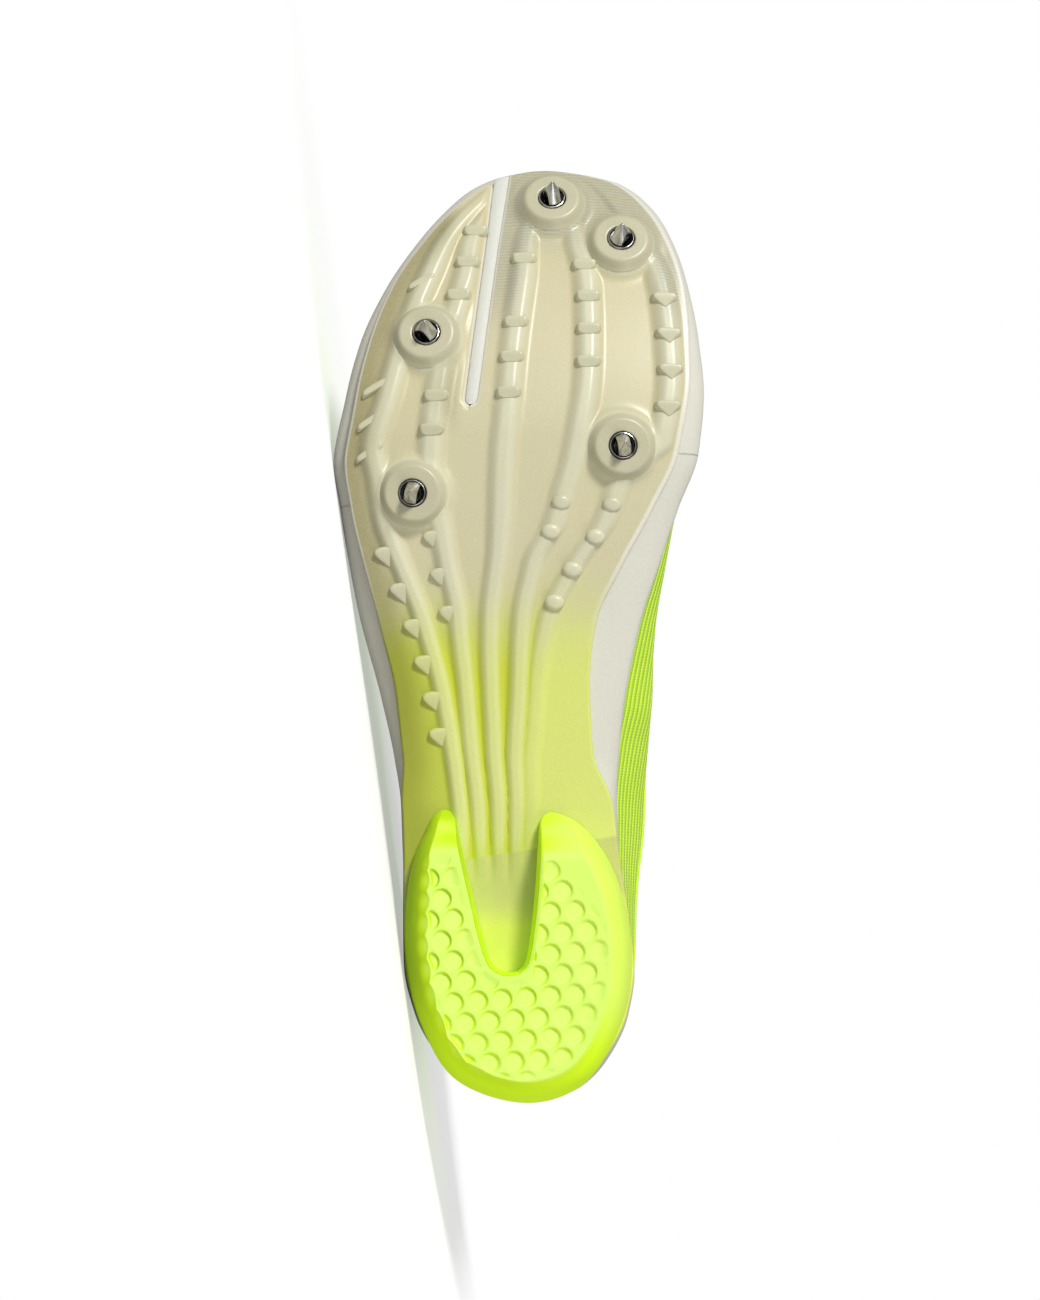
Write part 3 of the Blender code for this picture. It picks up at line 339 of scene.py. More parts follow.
class Finish:  # a material and short ways to add nodes to it
    def __init__(self, name, colour, roughness, metallic=0.0, **sockets):
        self.material = bpy.data.materials.new(name)
        self.material.use_nodes = True
        self.tree = self.material.node_tree
        self.shader = self.tree.nodes["Principled BSDF"]
        self.shader.inputs["Base Color"].default_value = tuple(colour) + (1.0,)
        self.shader.inputs["Roughness"].default_value = roughness
        self.shader.inputs["Metallic"].default_value = metallic
        for key, value in sockets.items():
            self.shader.inputs[key.replace("_", " ")].default_value = value

    def node(self, kind, wires=None, **settings):
        made = self.tree.nodes.new(kind)
        for key, value in settings.items():
            setattr(made, key, value)
        for key, value in (wires or {}).items():
            self.join(value, made.inputs[key])
        return made

    def join(self, value, socket):
        if isinstance(value, bpy.types.NodeSocket):
            self.tree.links.new(value, socket)
        else:
            socket.default_value = value

    def coords(self):  # places along, across and up in the shoe's own frame
        back = rest.inverted()
        return self.node("ShaderNodeMapping", {
            "Vector": self.node("ShaderNodeTexCoord").outputs["Object"],
            "Location": tuple(back.translation), "Rotation": tuple(back.to_euler())}).outputs[0]

    def facing(self):  # how far a face looks up in the shoe's own frame, -1 towards the track
        turned = self.node("ShaderNodeMapping", {
            "Vector": self.node("ShaderNodeTexCoord").outputs["Normal"],
            "Rotation": tuple(rest.inverted().to_euler())}, vector_type="VECTOR").outputs[0]
        return self.split(turned)[2]

    def split(self, vector=None):
        return self.node("ShaderNodeSeparateXYZ", {0: vector or self.coords()}).outputs

    def marks(self):  # the values that buildPiece keeps on the points
        return self.split(self.node("ShaderNodeAttribute", attribute_name="place").outputs["Vector"])

    def math(self, operation, *values):
        made = self.node("ShaderNodeMath", operation=operation)
        for value, socket in zip(values, made.inputs):
            self.join(value, socket)
        return made.outputs[0]

    def times(self, first, *others):
        for other in others:
            first = self.math("MULTIPLY", first, other)
        return first

    def wave(self, value, pitch):
        return self.math("SINE", self.times(value, 2.0 * math.pi / pitch))

    def span(self, value, low, high, first=0.0, second=1.0):
        return self.node("ShaderNodeMapRange", {"Value": value, "From Min": low, "From Max": high,
                                                "To Min": first, "To Max": second},
                         interpolation_type="SMOOTHSTEP").outputs["Result"]

    def noise(self, scale, detail=3.0, vector=None):
        return self.node("ShaderNodeTexNoise", {"Vector": vector or self.coords(), "Scale": scale,
                                                "Detail": detail, "Roughness": 0.5}).outputs["Fac"]

    def spots(self, scale, detail, *limits):
        return self.span(self.noise(scale, detail), *limits)

    def cells(self, scale):
        return self.node("ShaderNodeTexVoronoi", {"Vector": self.coords(), "Scale": scale},
                         feature="F1").outputs["Distance"]

    def blend(self, share, first, second, kind="MIX"):
        made = self.node("ShaderNodeMix", data_type="RGBA", blend_type=kind)
        self.join(share, made.inputs[0])
        for value, socket in ((first, made.inputs[6]), (second, made.inputs[7])):
            self.join(value + (1.0,) if isinstance(value, tuple) else value, socket)
        return made.outputs[2]

    def tint(self, share, colour, tone):
        return self.blend(share, colour, tone, "MULTIPLY")

    def bump(self, height, strength, distance, after=None):
        wires = {"Height": height, "Strength": strength, "Distance": distance}
        if after is not None:
            wires["Normal"] = after
        return self.node("ShaderNodeBump", wires).outputs["Normal"]

    def glow(self, colour, strength):  # painted glow: an emission that brightens the colour, though the part is no lamp
        self.join(colour + (1.0,), self.shader.inputs["Emission Color"])
        self.join(strength, self.shader.inputs["Emission Strength"])

    def paint(self, colour, normal, roughness=None):
        for name, value in (("Base Color", colour), ("Normal", normal), ("Roughness", roughness)):
            if value is not None:
                self.join(value, self.shader.inputs[name])
        return self.material


# In plateLook, edge is a painted shade for the lateral edge and rim a painted highlight along the
# plate's edge
plateLook = {
    "sand": (0.620, 0.565, 0.345), "pale": (0.670, 0.655, 0.470), "grey": (0.360, 0.365, 0.290),
    "litLimeMedial": (0.720, 0.790, 0.200), "shadedLimeLateral": (0.540, 0.600, 0.070),
    "shadedValley": (0.560, 0.620, 0.025), "limePale": (0.700, 0.740, 0.270), "olive": (0.600, 0.630, 0.200),
    "heel": (0.755, 0.820, 0.135), "rim": (0.84, 0.83, 0.76), "boss": (0.555, 0.530, 0.365),
    "lug": (0.600, 0.590, 0.410), "tooth": (0.690, 0.710, 0.300), "edge": (0.60, 0.585, 0.48),
    "grain": (0.82, 0.74, 0.50), "speck": (0.86, 0.81, 0.62), "liningPitch": 0.00098,
}


def makePlateLook(name, kind):
    look = Finish(name, plateLook["sand"], 0.40, Coat_Weight=0.22, Coat_Roughness=0.26, IOR=1.47)
    x, y = look.split()[:2]
    rise, toRim, zone = look.marks()[:3]
    wobbly = look.math("ADD", x, look.spots(28.0, 2.0, 0.3, 0.7, -0.003, 0.003))
    place = look.math("DIVIDE", wobbly, shoe["length"])
    crisp = look.math("DIVIDE", look.math("SUBTRACT", x, look.times(y, 0.16)), shoe["length"])
    forefoot = look.span(place, 0.44, 0.575)

    def heelwards(colour):  # the end under the heel turns olive at one sharp line
        colour = look.blend(look.span(crisp, 0.2625, 0.2590), colour, plateLook["olive"])
        return look.blend(look.span(place, 0.225, 0.185), colour, plateLook["heel"])

    if kind == "plate":
        # painted shade and light: the arch's lime is darker on the lateral side, which turns away from
        # the light, and paler on the lit medial side
        flat = look.blend(look.span(y, -0.024, 0.010), plateLook["shadedLimeLateral"], plateLook["litLimeMedial"])
        # painted shade: the low ground between the ridges is a darker, deeper lime
        deep = look.blend(look.times(zone, 0.85), flat, plateLook["shadedValley"])
        deep = look.blend(forefoot, heelwards(deep), plateLook["sand"])
        high = look.blend(forefoot, heelwards(plateLook["limePale"]), plateLook["pale"])
        colour = look.blend(look.span(rise, 0.10, 0.80), deep, high)
        shade = look.times(look.spots(9.0, 2.0, 0.38, 0.62, 0.0, 0.35), forefoot)
        colour = look.blend(shade, colour, plateLook["pale"])
        # painted shade: the lateral edge, which turns away from the light, is painted darker
        side = look.times(look.span(toRim, 0.0120, 0.0020), look.span(y, -0.0170, -0.0240),
                          look.span(place, 0.20, 0.42, 0.35, 1.0))
        colour = look.tint(side, colour, plateLook["edge"])
        # the medial side of the toe shows the fine rows of the lining
        front = look.math("ADD", look.span(x, 0.248, 0.268), look.times(
            look.span(x, 0.222, 0.246), look.span(toRim, 0.0110, 0.0050)))
        front = look.times(look.math("MINIMUM", front, 1.0), zone, look.span(place, 0.65, 0.70))
        bent = look.math("ADD", look.math("ADD", x, look.times(y, y, 1.6)),
                         look.spots(170.0, 3.0, 0.2, 0.8, -0.0003, 0.0003))
        rows = look.span(look.wave(bent, plateLook["liningPitch"]), -0.5, 0.9)
        colour = look.blend(look.times(front, look.math("MULTIPLY_ADD", rows, 0.30, 0.45)),
                            colour, plateLook["grey"])
        # painted highlight: a pale rim along the plate's edge, wider on the medial side
        rimHighlight = look.times(look.span(toRim, 0.0020, 0.0012), look.span(y, 0.004, 0.016))
        rimHighlight = look.math("MAXIMUM", rimHighlight, look.span(toRim, 0.0010, 0.0004))
        colour = look.blend(look.times(rimHighlight, look.span(x, 0.13, 0.17), 0.70), colour, plateLook["rim"])
    elif kind == "boss":
        colour = look.blend(look.span(rise, 0.55, 1.60), plateLook["pale"], plateLook["boss"])
    else:
        colour = look.blend(look.span(place, 0.44, 0.55), plateLook["tooth"], plateLook["pale"])
        colour = look.blend(look.span(place, 0.615, 0.635), colour, plateLook["lug"])
    colour = look.tint(look.times(look.spots(2300.0, 2.0, 0.36, 0.64, 0.0, 1.0), 0.20),
                       colour, plateLook["grain"])
    colour = look.blend(look.times(look.spots(2900.0, 1.0, 0.60, 0.72, 0.0, 0.26), forefoot),
                        colour, plateLook["speck"])
    return look.paint(colour, look.bump(look.noise(1700.0, 2.0), 0.12, 0.0002))


foamLook = {
    "white": (0.71, 0.70, 0.60), "dull": (0.66, 0.645, 0.56), "grain": (0.90, 0.88, 0.86),
    "strip": (0.70, 0.70, 0.63), "seam": (0.35, 0.34, 0.30),
    "seams": ((0.1913, 0.0440, 0.0460), (0.1761, -0.0490, -0.0510)),  # x, and where it fades in across
}


def makeFoamLook():
    look = Finish("whiteFoam", (0.69, 0.68, 0.58), 0.58, IOR=1.45)
    x, y = look.split()[:2]
    patch = look.spots(30.0, 3.0, 0.35, 0.65, 0.0, 0.40)
    colour = look.blend(patch, foamLook["white"], foamLook["dull"])
    colour = look.tint(look.spots(1900.0, 2.0, 0.40, 0.62, 0.0, 0.35), colour, foamLook["grain"])
    colour = look.blend(look.marks()[0], colour, foamLook["strip"])
    lines = []
    for seamX, low, high in foamLook["seams"]:
        away = look.math("ABSOLUTE", look.math("SUBTRACT", x, seamX))
        lines.append(look.times(look.span(away, 0.0004, 0.0001), look.span(y, low, high)))
    seams = look.math("ADD", *lines)
    colour = look.blend(look.times(seams, 0.35), colour, foamLook["seam"])
    normal = look.bump(look.cells(1150.0), 0.20, 0.0003, look.bump(seams, 0.6, -0.0004))
    return look.paint(colour, look.bump(look.noise(2600.0, 2.0), 0.15, 0.0002, normal))


# tread and medial are the lit, paler copies of the lime rubber, flank and lateral the shaded ones:
# painted light and shade
padLook = {
    "tread": (0.690, 0.915, 0.170), "flank": (0.640, 0.880, 0.006), "medial": (0.715, 0.925, 0.120),
    "lateral": (0.70, 0.76, 0.90), "patch": (0.90, 0.96, 0.75), "grain": (0.80, 0.86, 0.60),
    "glow": (0.50, 0.78, 0.0),
}


def makePadLook():
    look = Finish("limeRubber", padLook["tread"], 0.60, IOR=1.40)
    facing = look.facing()
    x, y = look.split()[:2]
    # painted light: the medial flank, which faces the light, is painted paler
    medial = look.times(look.span(y, 0.004, 0.016), look.span(x, 0.012, 0.030))
    flank = look.blend(medial, padLook["flank"], padLook["medial"])
    # painted light and shade: faces turned to the track are paler and whiter, the flanks that turn away
    # a deeper, darker lime
    colour = look.blend(look.span(facing, -0.97, -0.78), padLook["tread"], flank)
    # painted shade: the turned-away lateral flank is tinted darker
    turned = look.span(facing, -0.90, -0.60)
    lateral = look.times(turned, look.span(y, -0.012, -0.024), look.span(x, 0.018, 0.045))
    colour = look.tint(lateral, colour, padLook["lateral"])
    # painted glow: a lime emission, stronger on the rear flank, brightens the pad though it is no lamp
    paintedRearGlow = look.times(turned, look.span(x, 0.036, 0.010))
    look.glow(padLook["glow"], look.math("MULTIPLY_ADD", paintedRearGlow, 0.22, 0.10))
    colour = look.tint(look.spots(40.0, 2.0, 0.35, 0.65, 0.0, 0.35), colour, padLook["patch"])
    colour = look.tint(look.spots(2600.0, 2.0, 0.40, 0.62, 0.0, 0.22), colour, padLook["grain"])
    coarse = look.bump(look.noise(420.0, 2.0), 0.18, 0.0003)
    return look.paint(colour, look.bump(look.noise(1900.0, 2.0), 0.20, 0.0002, coarse))


knitLook = {
    "lime": (0.62, 0.90, 0.05), "deep": (0.54, 0.84, 0.03), "holeShade": (0.15, 0.30, 0.004),
    "loop": (0.74, 0.96, 0.14), "lining": (0.40, 0.42, 0.38), "glow": (0.42, 0.72, 0.0),
    "ribPitch": 0.0020, "stitchPitch": 0.00085, "loopPitch": 0.0008,
}


def makeKnitLook():
    look = Finish("limeKnit", knitLook["lime"], 0.80, Sheen_Weight=0.06, Sheen_Roughness=0.4)
    along, up, zone = look.marks()[:3]
    rib, stitch = look.wave(up, knitLook["ribPitch"]), look.wave(along, knitLook["stitchPitch"])
    loops = look.times(stitch, look.wave(up, knitLook["loopPitch"]))
    ribbed = look.times(look.span(along, 0.030, 0.060), look.span(along, 0.236, 0.180),
                        look.math("MAXIMUM", zone, 0.0))
    # painted shade: dark dots in the rib grooves stand for the shade in the knit's small holes
    dots = look.math("MULTIPLY_ADD", look.span(stitch, -0.3, 0.6), 0.60, 0.40)
    holes = look.times(look.span(rib, -0.25, -0.95), dots, ribbed)
    colour = look.blend(look.spots(60.0, 3.0, 0.3, 0.7, 0.0, 0.4), knitLook["lime"], knitLook["deep"])
    colour = look.blend(look.times(holes, 0.90), colour, knitLook["holeShade"])
    colour = look.blend(look.span(loops, 0.2, 1.0, 0.0, 0.22), colour, knitLook["loop"])
    inner = look.span(zone, -0.3, -0.8)  # the lining inside
    colour = look.blend(inner, colour, knitLook["lining"])
    # painted glow: the knit's outside gets a lime emission, though it is no lamp
    look.glow(knitLook["glow"], look.math("MULTIPLY_ADD", inner, -0.08, 0.08))
    ribs = look.bump(look.times(rib, ribbed), 0.6, 0.0004)
    return look.paint(colour, look.bump(loops, 0.22, 0.0002, ribs))


def makeLiningLook():
    look = Finish("greyLining", (0.42, 0.44, 0.40), 0.9, Sheen_Weight=0.3)
    weave = look.cells(1400.0)
    colour = look.blend(look.span(weave, 0.1, 0.7), (0.48, 0.50, 0.45), (0.34, 0.36, 0.32))
    return look.paint(colour, look.bump(weave, 0.5, 0.0003))


def makeLaceLook():
    look = Finish("whiteLace", (0.78, 0.79, 0.73), 0.8, Sheen_Weight=0.3)
    along, across = look.marks()[:2]
    pitch = 0.0010
    weave = look.times(*(look.wave(look.math(way, along, across), pitch) for way in ("ADD", "SUBTRACT")))
    colour = look.blend(look.span(weave, -0.9, 0.3), (0.58, 0.60, 0.52), (0.80, 0.81, 0.75))
    return look.paint(colour, look.bump(weave, 0.5, 0.0003))


def makeSteelLook():
    look = Finish("brushedSteel", (0.50, 0.50, 0.49), 0.26, 1.0)
    around, height, paintedShade = look.marks()[:3]
    brushed = look.node("ShaderNodeCombineXYZ", {
        0: look.times(around, 6.0), 1: look.times(height, 90.0)}).outputs[0]
    streak = look.noise(2.0, 1.5, brushed)
    colour = look.blend(look.span(streak, 0.34, 0.66), (0.46, 0.46, 0.46), (0.70, 0.70, 0.69))
    # painted shade: the socket's bore, the shank and the spike's flats are painted near black for their
    # shade and dark reflections
    colour = look.blend(look.times(paintedShade, 0.93), colour, (0.012, 0.012, 0.013))
    return look.paint(colour, look.bump(streak, 0.08, 0.0001), look.span(streak, 0.3, 0.7, 0.20, 0.34))


plateFinish = makePlateLook("ivoryPlate", "plate")
bossFinish = makePlateLook("ivoryBoss", "boss")
lugFinish = makePlateLook("ivoryLug", "lug")
foamFinish = makeFoamLook()
padFinish = makePadLook()
knitFinish = makeKnitLook()
liningFinish = makeLiningLook()
laceFinish = makeLaceLook()
steelFinish = makeSteelLook()
print("the materials are made")


# The outsole plate

ridges = table(("along", "one", "two", "three", "four", "five", "halfWidth", "height"), (
    (0.000, 0.270, 0.350, 0.430, 0.500, 0.560, 0.018, 0.0),
    (0.212, 0.278, 0.358, 0.436, 0.508, 0.572, 0.022, 0.0),
    (0.253, 0.277, 0.359, 0.443, 0.521, 0.582, 0.025, 0.5),
    (0.283, 0.277, 0.359, 0.449, 0.532, 0.594, 0.028, 0.8),
    (0.315, 0.273, 0.360, 0.459, 0.548, 0.616, 0.030, 0.95),
    (0.349, 0.267, 0.362, 0.474, 0.578, 0.655, 0.031, 1.0),
    (0.384, 0.260, 0.363, 0.486, 0.606, 0.694, 0.032, 1.0),
    (0.418, 0.246, 0.364, 0.491, 0.628, 0.716, 0.032, 1.0),
    (0.453, 0.232, 0.367, 0.500, 0.646, 0.742, 0.033, 1.0),
    (0.500, 0.206, 0.368, 0.512, 0.656, 0.775, 0.034, 1.0),
    (0.562, 0.140, 0.320, 0.513, 0.654, 0.819, 0.036, 1.0),
    (0.604, 0.109, 0.295, 0.502, 0.692, 0.860, 0.040, 1.0),
    (0.647, 0.104, 0.271, 0.485, 0.690, 0.856, 0.042, 1.0),
    (0.689, 0.080, 0.253, 0.470, 0.690, 0.943, 0.042, 1.0),
    (0.746, 0.101, 0.244, 0.458, 0.689, 0.939, 0.042, 1.0),
    (0.866, 0.113, 0.244, 0.442, 0.665, 0.917, 0.042, 1.0),
    (0.926, 0.090, 0.195, 0.416, 0.612, 0.870, 0.036, 0.6),
    (1.000, 0.100, 0.250, 0.450, 0.600, 0.800, 0.020, 0.0),
))
ridgeNames = ("one", "two", "three", "four", "five")
bossProfile = table(("radius", "height"), (
    (0.0, 4.80), (7.3, 4.80), (7.8, 4.74), (8.2, 4.55), (8.6, 4.15), (9.4, 3.00), (10.2, 1.80),
    (11.0, 0.85), (12.0, 0.30), (13.2, 0.06), (14.5, 0.0), (40.0, 0.0)))


def bossRise(radius):
    return 0.001 * monotone(bossProfile["radius"], bossProfile["height"], radius * 1000.0)


def slitCentre(x):  # y of the slit's middle, x of its round end, and its slope
    (toeX, toeY), (endX, endY) = ((along * shoe["length"], across * shoe["ballWidth"])
                                  for along, across in (plateSize["slitToe"], plateSize["slitEnd"]))
    slope = (toeY - endY) / (toeX - endX)
    return endY + slope * (x - endX), endX, slope


def slitHalf(x):  # half the slit's width, nothing behind its round end
    endX = slitCentre(x)[1]
    radius = plateSize["slitWidth"] / 2.0
    flare = plateSize["slitFlare"] / 2.0 * smoothstep(0.25, 0.285, x)
    behind = np.clip((endX - x) / radius, 0.0, 1.0)
    return (radius + flare) * np.sqrt(1.0 - behind * behind) * (x > endX - radius)


def slitDistance(x, y):
    centre, endX, slope = slitCentre(x)
    radius = plateSize["slitWidth"] / 2.0
    beside = np.abs(y - centre) / math.sqrt(1.0 + slope * slope) - slitHalf(x)
    endCentre = slitCentre(np.array(endX))[0]
    beyond = np.hypot(x - endX, y - endCentre) - radius
    return np.where(x > endX, beside, beyond)


def plateRelief(at, share, x, y, z):
    width = soleSides(at, True)
    width = np.maximum(width[1] - width[0], 1e-5)
    half = read(ridges, "halfWidth", at) * shoe["ballWidth"]
    height = read(ridges, "height", at) * plateSize["ridgeHeight"]
    rise = np.zeros_like(x)
    for name in ridgeNames:
        crest = read(ridges, name, at)
        away = np.abs(share - crest) * width / half
        faint = mix(0.40, 1.0, smoothstep(0.40, 0.60, at)) if name == "five" else 1.0
        rise = np.maximum(rise, height * faint * smoothstep(1.12, 0.22, away))
    toSlit = slitDistance(x, y)
    toEdge = np.minimum(share, 1.0 - share) * width
    rise = rise * smoothstep(0.0004, 0.0030, toSlit) * smoothstep(0.0, 0.0030, toEdge)
    for place in spikeFrames:
        centre, out = np.array(place.translation), np.array(place.to_3x3().col[2])
        away = np.stack([x, y, z], -1) - centre
        away = away - (away @ out)[..., None] * out
        radius = np.maximum(np.linalg.norm(away, axis=-1), plateSize["bossFoot"])
        rise = (rise ** 3 + bossRise(radius) ** 3) ** (1.0 / 3.0)
    return rise


def makePlate():
    rows, lateralColumns, medialColumns, topColumns = 430, 62, 118, (4, 6)
    at = endSpaced(rows)
    x = mix(plateSize["margin"], shoe["length"] - plateSize["margin"], at)
    lateral, medial = soleSides(at, True)
    centre, half = slitCentre(x)[0], slitHalf(x)
    cut = half > 0.0
    middle = np.clip(centre, mix(lateral, medial, 0.12), mix(lateral, medial, 0.88))
    mouth = plateSize["mouth"] * smoothstep(0.2745, 0.2795, x) ** 2  # the lateral tip is rounded there
    gapStart = np.where(cut, np.maximum(lateral, centre - half - mouth), middle)
    gapEnd = np.where(cut, np.maximum(lateral, centre + half), middle)
    bend = np.linspace(0.0, math.pi / 2.0, 5)
    rounding = np.minimum(plateSize["round"], 0.1 * (medial - lateral))

    def block(start, stop, count):
        small = np.minimum(rounding, 0.3 * (stop - start))
        near = (1.0 - np.cos(bend))[None, :] * small[:, None]
        first, final = start[:, None] + near, stop[:, None] - near[:, ::-1]
        span = first[:, -1:] + (final[:, :1] - first[:, -1:]) * np.linspace(0.0, 1.0, count)[None, :]
        return np.concatenate([first[:, :-1], span, final[:, 1:]], 1)

    def roundOff(radius, distance):  # how far a rounded edge stands back
        away = np.maximum(0.0, radius - distance)
        return radius - np.sqrt(np.maximum(0.0, radius ** 2 - away ** 2))

    def underside(y):
        xs, ats = (np.repeat(values[:, None], y.shape[1], 1) for values in (x, at))
        z = ground(xs, y)
        share = (y - lateral[:, None]) / np.maximum((medial - lateral)[:, None], 1e-6)
        rise = plateRelief(ats, np.clip(share, 0, 1), xs, y, z)
        slopeX, slopeY = groundSlopes(xs, y, 0.0005)
        out = unit(np.stack([slopeX, slopeY, -np.ones(y.shape)], -1))
        toRim = np.minimum(y - lateral[:, None], medial[:, None] - y)
        toSlit = np.maximum(0.0, slitDistance(xs, y))
        lipRound = np.where(y < centre[:, None], 1.9, 0.8) * plateSize["slitRound"]  # softer laterally
        lift = roundOff(rounding[:, None], toRim) + roundOff(lipRound, toSlit)
        points = np.stack([xs, y, z], -1) + out * rise[..., None]
        points[..., 2] += np.minimum(lift, 0.8 * plateSize["thick"])
        one, five = (read(ridges, name, ats) for name in ("one", "five"))
        between = smoothstep(one - 0.03, one + 0.02, share) * smoothstep(five + 0.01, five - 0.06, share)
        zone = np.where(ats < 0.62, between, (y > centre[:, None]) * 1.0)
        place = np.stack([rise / plateSize["ridgeHeight"], np.minimum(toRim, toSlit), zone], -1)
        return points, place

    def topSide(start, stop, count):
        y = start[:, None] + (stop - start)[:, None] * np.linspace(0, 1, count)[None, :]
        xs = np.repeat(x[:, None], count, 1)
        return np.stack([xs, y, ground(xs, y) + plateSize["thick"]], -1), np.zeros(y.shape + (3,))

    halves = ((lateral, gapStart, lateralColumns), (gapEnd, medial, medialColumns))
    grids = [underside(block(*half)) for half in halves]
    grids += [topSide(start, stop, count) for (start, stop, _), count in zip(halves, topColumns)]
    widths = [grid.shape[1] for grid, place in grids]
    starts = np.cumsum([0] + [rows * width for width in widths])
    there = (gapStart > lateral)[:-1] | (gapStart > lateral)[1:]  # rows that have a lateral half
    opened = cut[:-1] | cut[1:]

    def wall(low, high, column, keep):  # faces between the first (0) or last (-1) columns of two grids
        i = np.nonzero(keep)[0]
        a = starts[low] + i * widths[low] + column % widths[low]
        b = starts[high] + i * widths[high] + column % widths[high]
        return np.stack([a, a + widths[low], b + widths[high], b], -1)

    every, parts = np.ones(rows - 1, bool), []
    for (grid, place), rowsKept in zip(grids, (there, every, there, every)):
        faces = gridFaces(rows, grid.shape[1], False).reshape(rows - 1, -1, 4)
        parts.append((grid, faces[rowsKept].reshape(-1, 4)))
    walls = [wall(0, 2, 0, there), wall(1, 3, -1, every),
             wall(0, 2, -1, opened & there), wall(1, 3, 0, opened | ~there)]
    parts[0] = (parts[0][0], np.concatenate([parts[0][1]] + walls))
    places = np.concatenate([place.reshape(-1, 3) for grid, place in grids])
    return buildPiece("outsolePlate", parts, plateFinish, ["outsole_plate"], 50.0, places)


def lathe(profile, steps):
    profile = np.array(profile, float)
    turn = np.linspace(0.0, 2.0 * math.pi, steps, endpoint=False)
    ring = np.stack([np.cos(turn), np.sin(turn)], -1)
    heights = np.repeat(profile[:, None, 1:], steps, 1)
    return np.concatenate([ring[None] * profile[:, None, :1], heights], -1)


def makeBosses():
    steps, bore, sunk, depth = 72, 0.0043, 0.0008, 0.0044
    top, foot = plateSize["bossHeight"], plateSize["bossFoot"]
    profile = [(bore, top - depth), (bore, top - 0.0003), (bore + 0.0001, top - 0.0001)]
    profile += [(r, float(bossRise(r))) for r in np.linspace(bore + 0.0004, foot, 26)]
    profile += [(foot + 0.0001, 0.0009), (foot, -sunk), (bore + 0.001, -sunk), (bore, top - depth)]
    marks = np.zeros((len(spikeFrames), len(profile), steps, 3))
    marks[..., 0] = (np.array(profile)[:, 1] / plateSize["ridgeHeight"])[None, :, None]
    faces = gridFaces(len(profile), steps)
    parts = [(placed(lathe(profile, steps), place), faces) for place in spikeFrames]
    return buildPiece("spikeBosses", parts, bossFinish, None, 40.0, marks.reshape(-1, 3))


# Lugs on the ridges: ridge, first and last place, how many, kind, step to the side
lugRows = (
    ("one", 0.865, 0.865, 1, "leaf", -0.010), ("two", 0.924, 0.848, 3, "bar", 0.0),
    ("two", 0.736, 0.700, 2, "bar", 0.0), ("three", 0.890, 0.890, 1, "bar", 0.0),
    ("three", 0.817, 0.739, 3, "bar", 0.0), ("four", 0.883, 0.773, 4, "bar", 0.0),
    ("five", 0.845, 0.725, 4, "arrow", 0.0), ("one", 0.572, 0.382, 6, "tooth", -0.028),
    ("two", 0.589, 0.510, 3, "tooth", -0.022), ("five", 0.622, 0.519, 4, "dome", 0.0),
    ("four", 0.624, 0.593, 2, "dome", 0.0),
)
edgeLeaves = ((0.745, -0.397), (0.709, -0.410), (0.676, -0.413))  # along and across
lugShapes = {  # corners in millimetres: towards the toe, towards the medial side
    "bar": ((1.7, -3.2), (1.8, 0.0), (1.7, 3.2), (0.5, 3.5), (-0.9, 2.9), (-1.6, 1.4), (-1.7, -1.4),
            (-1.2, -2.9), (0.4, -3.5)),
    "arrow": ((1.7, -3.4), (1.8, 0.0), (1.7, 3.4), (0.1, 3.6), (-1.5, 1.9), (-2.9, 0.5), (-2.9, 0.0),
              (-1.5, -1.7), (0.0, -3.6)),
    "leaf": ((2.9, 3.2), (2.4, 4.0), (1.0, 3.6), (-1.6, -0.8), (-3.0, -3.3), (-2.6, -4.0), (-1.2, -3.8),
             (1.7, 0.6)),
    "tooth": ((1.6, 3.8), (1.9, 1.6), (1.5, -1.2), (0.9, -2.6), (0.0, -3.3), (-1.0, -2.9), (-2.4, -1.4),
              (-4.2, 0.9), (-5.8, 3.0), (-5.8, 3.8)),
    "dome": tuple((2.3 * math.cos(k * math.pi / 4), 2.8 * math.sin(k * math.pi / 4)) for k in range(8)),
}
lugProfile = (  # share of the outline's size, share of the height
    (1.16, -1.3), (1.06, -0.1), (1.0, 0.45), (0.96, 0.78), (0.88, 0.96), (0.74, 1.0), (0.40, 1.0))
domeProfile = (
    (1.16, -1.3), (1.08, -0.1), (1.0, 0.30), (0.88, 0.60), (0.68, 0.84), (0.42, 0.97), (0.15, 1.0))


def smoothOutline(corners):  # rounds the corners of an outline off
    points = np.array(corners, float)
    for _ in range(2):
        after = np.roll(points, -1, 0)
        points = np.stack([mix(points, after, 0.22), mix(points, after, 0.78)], 1).reshape(-1, 2)
    return points


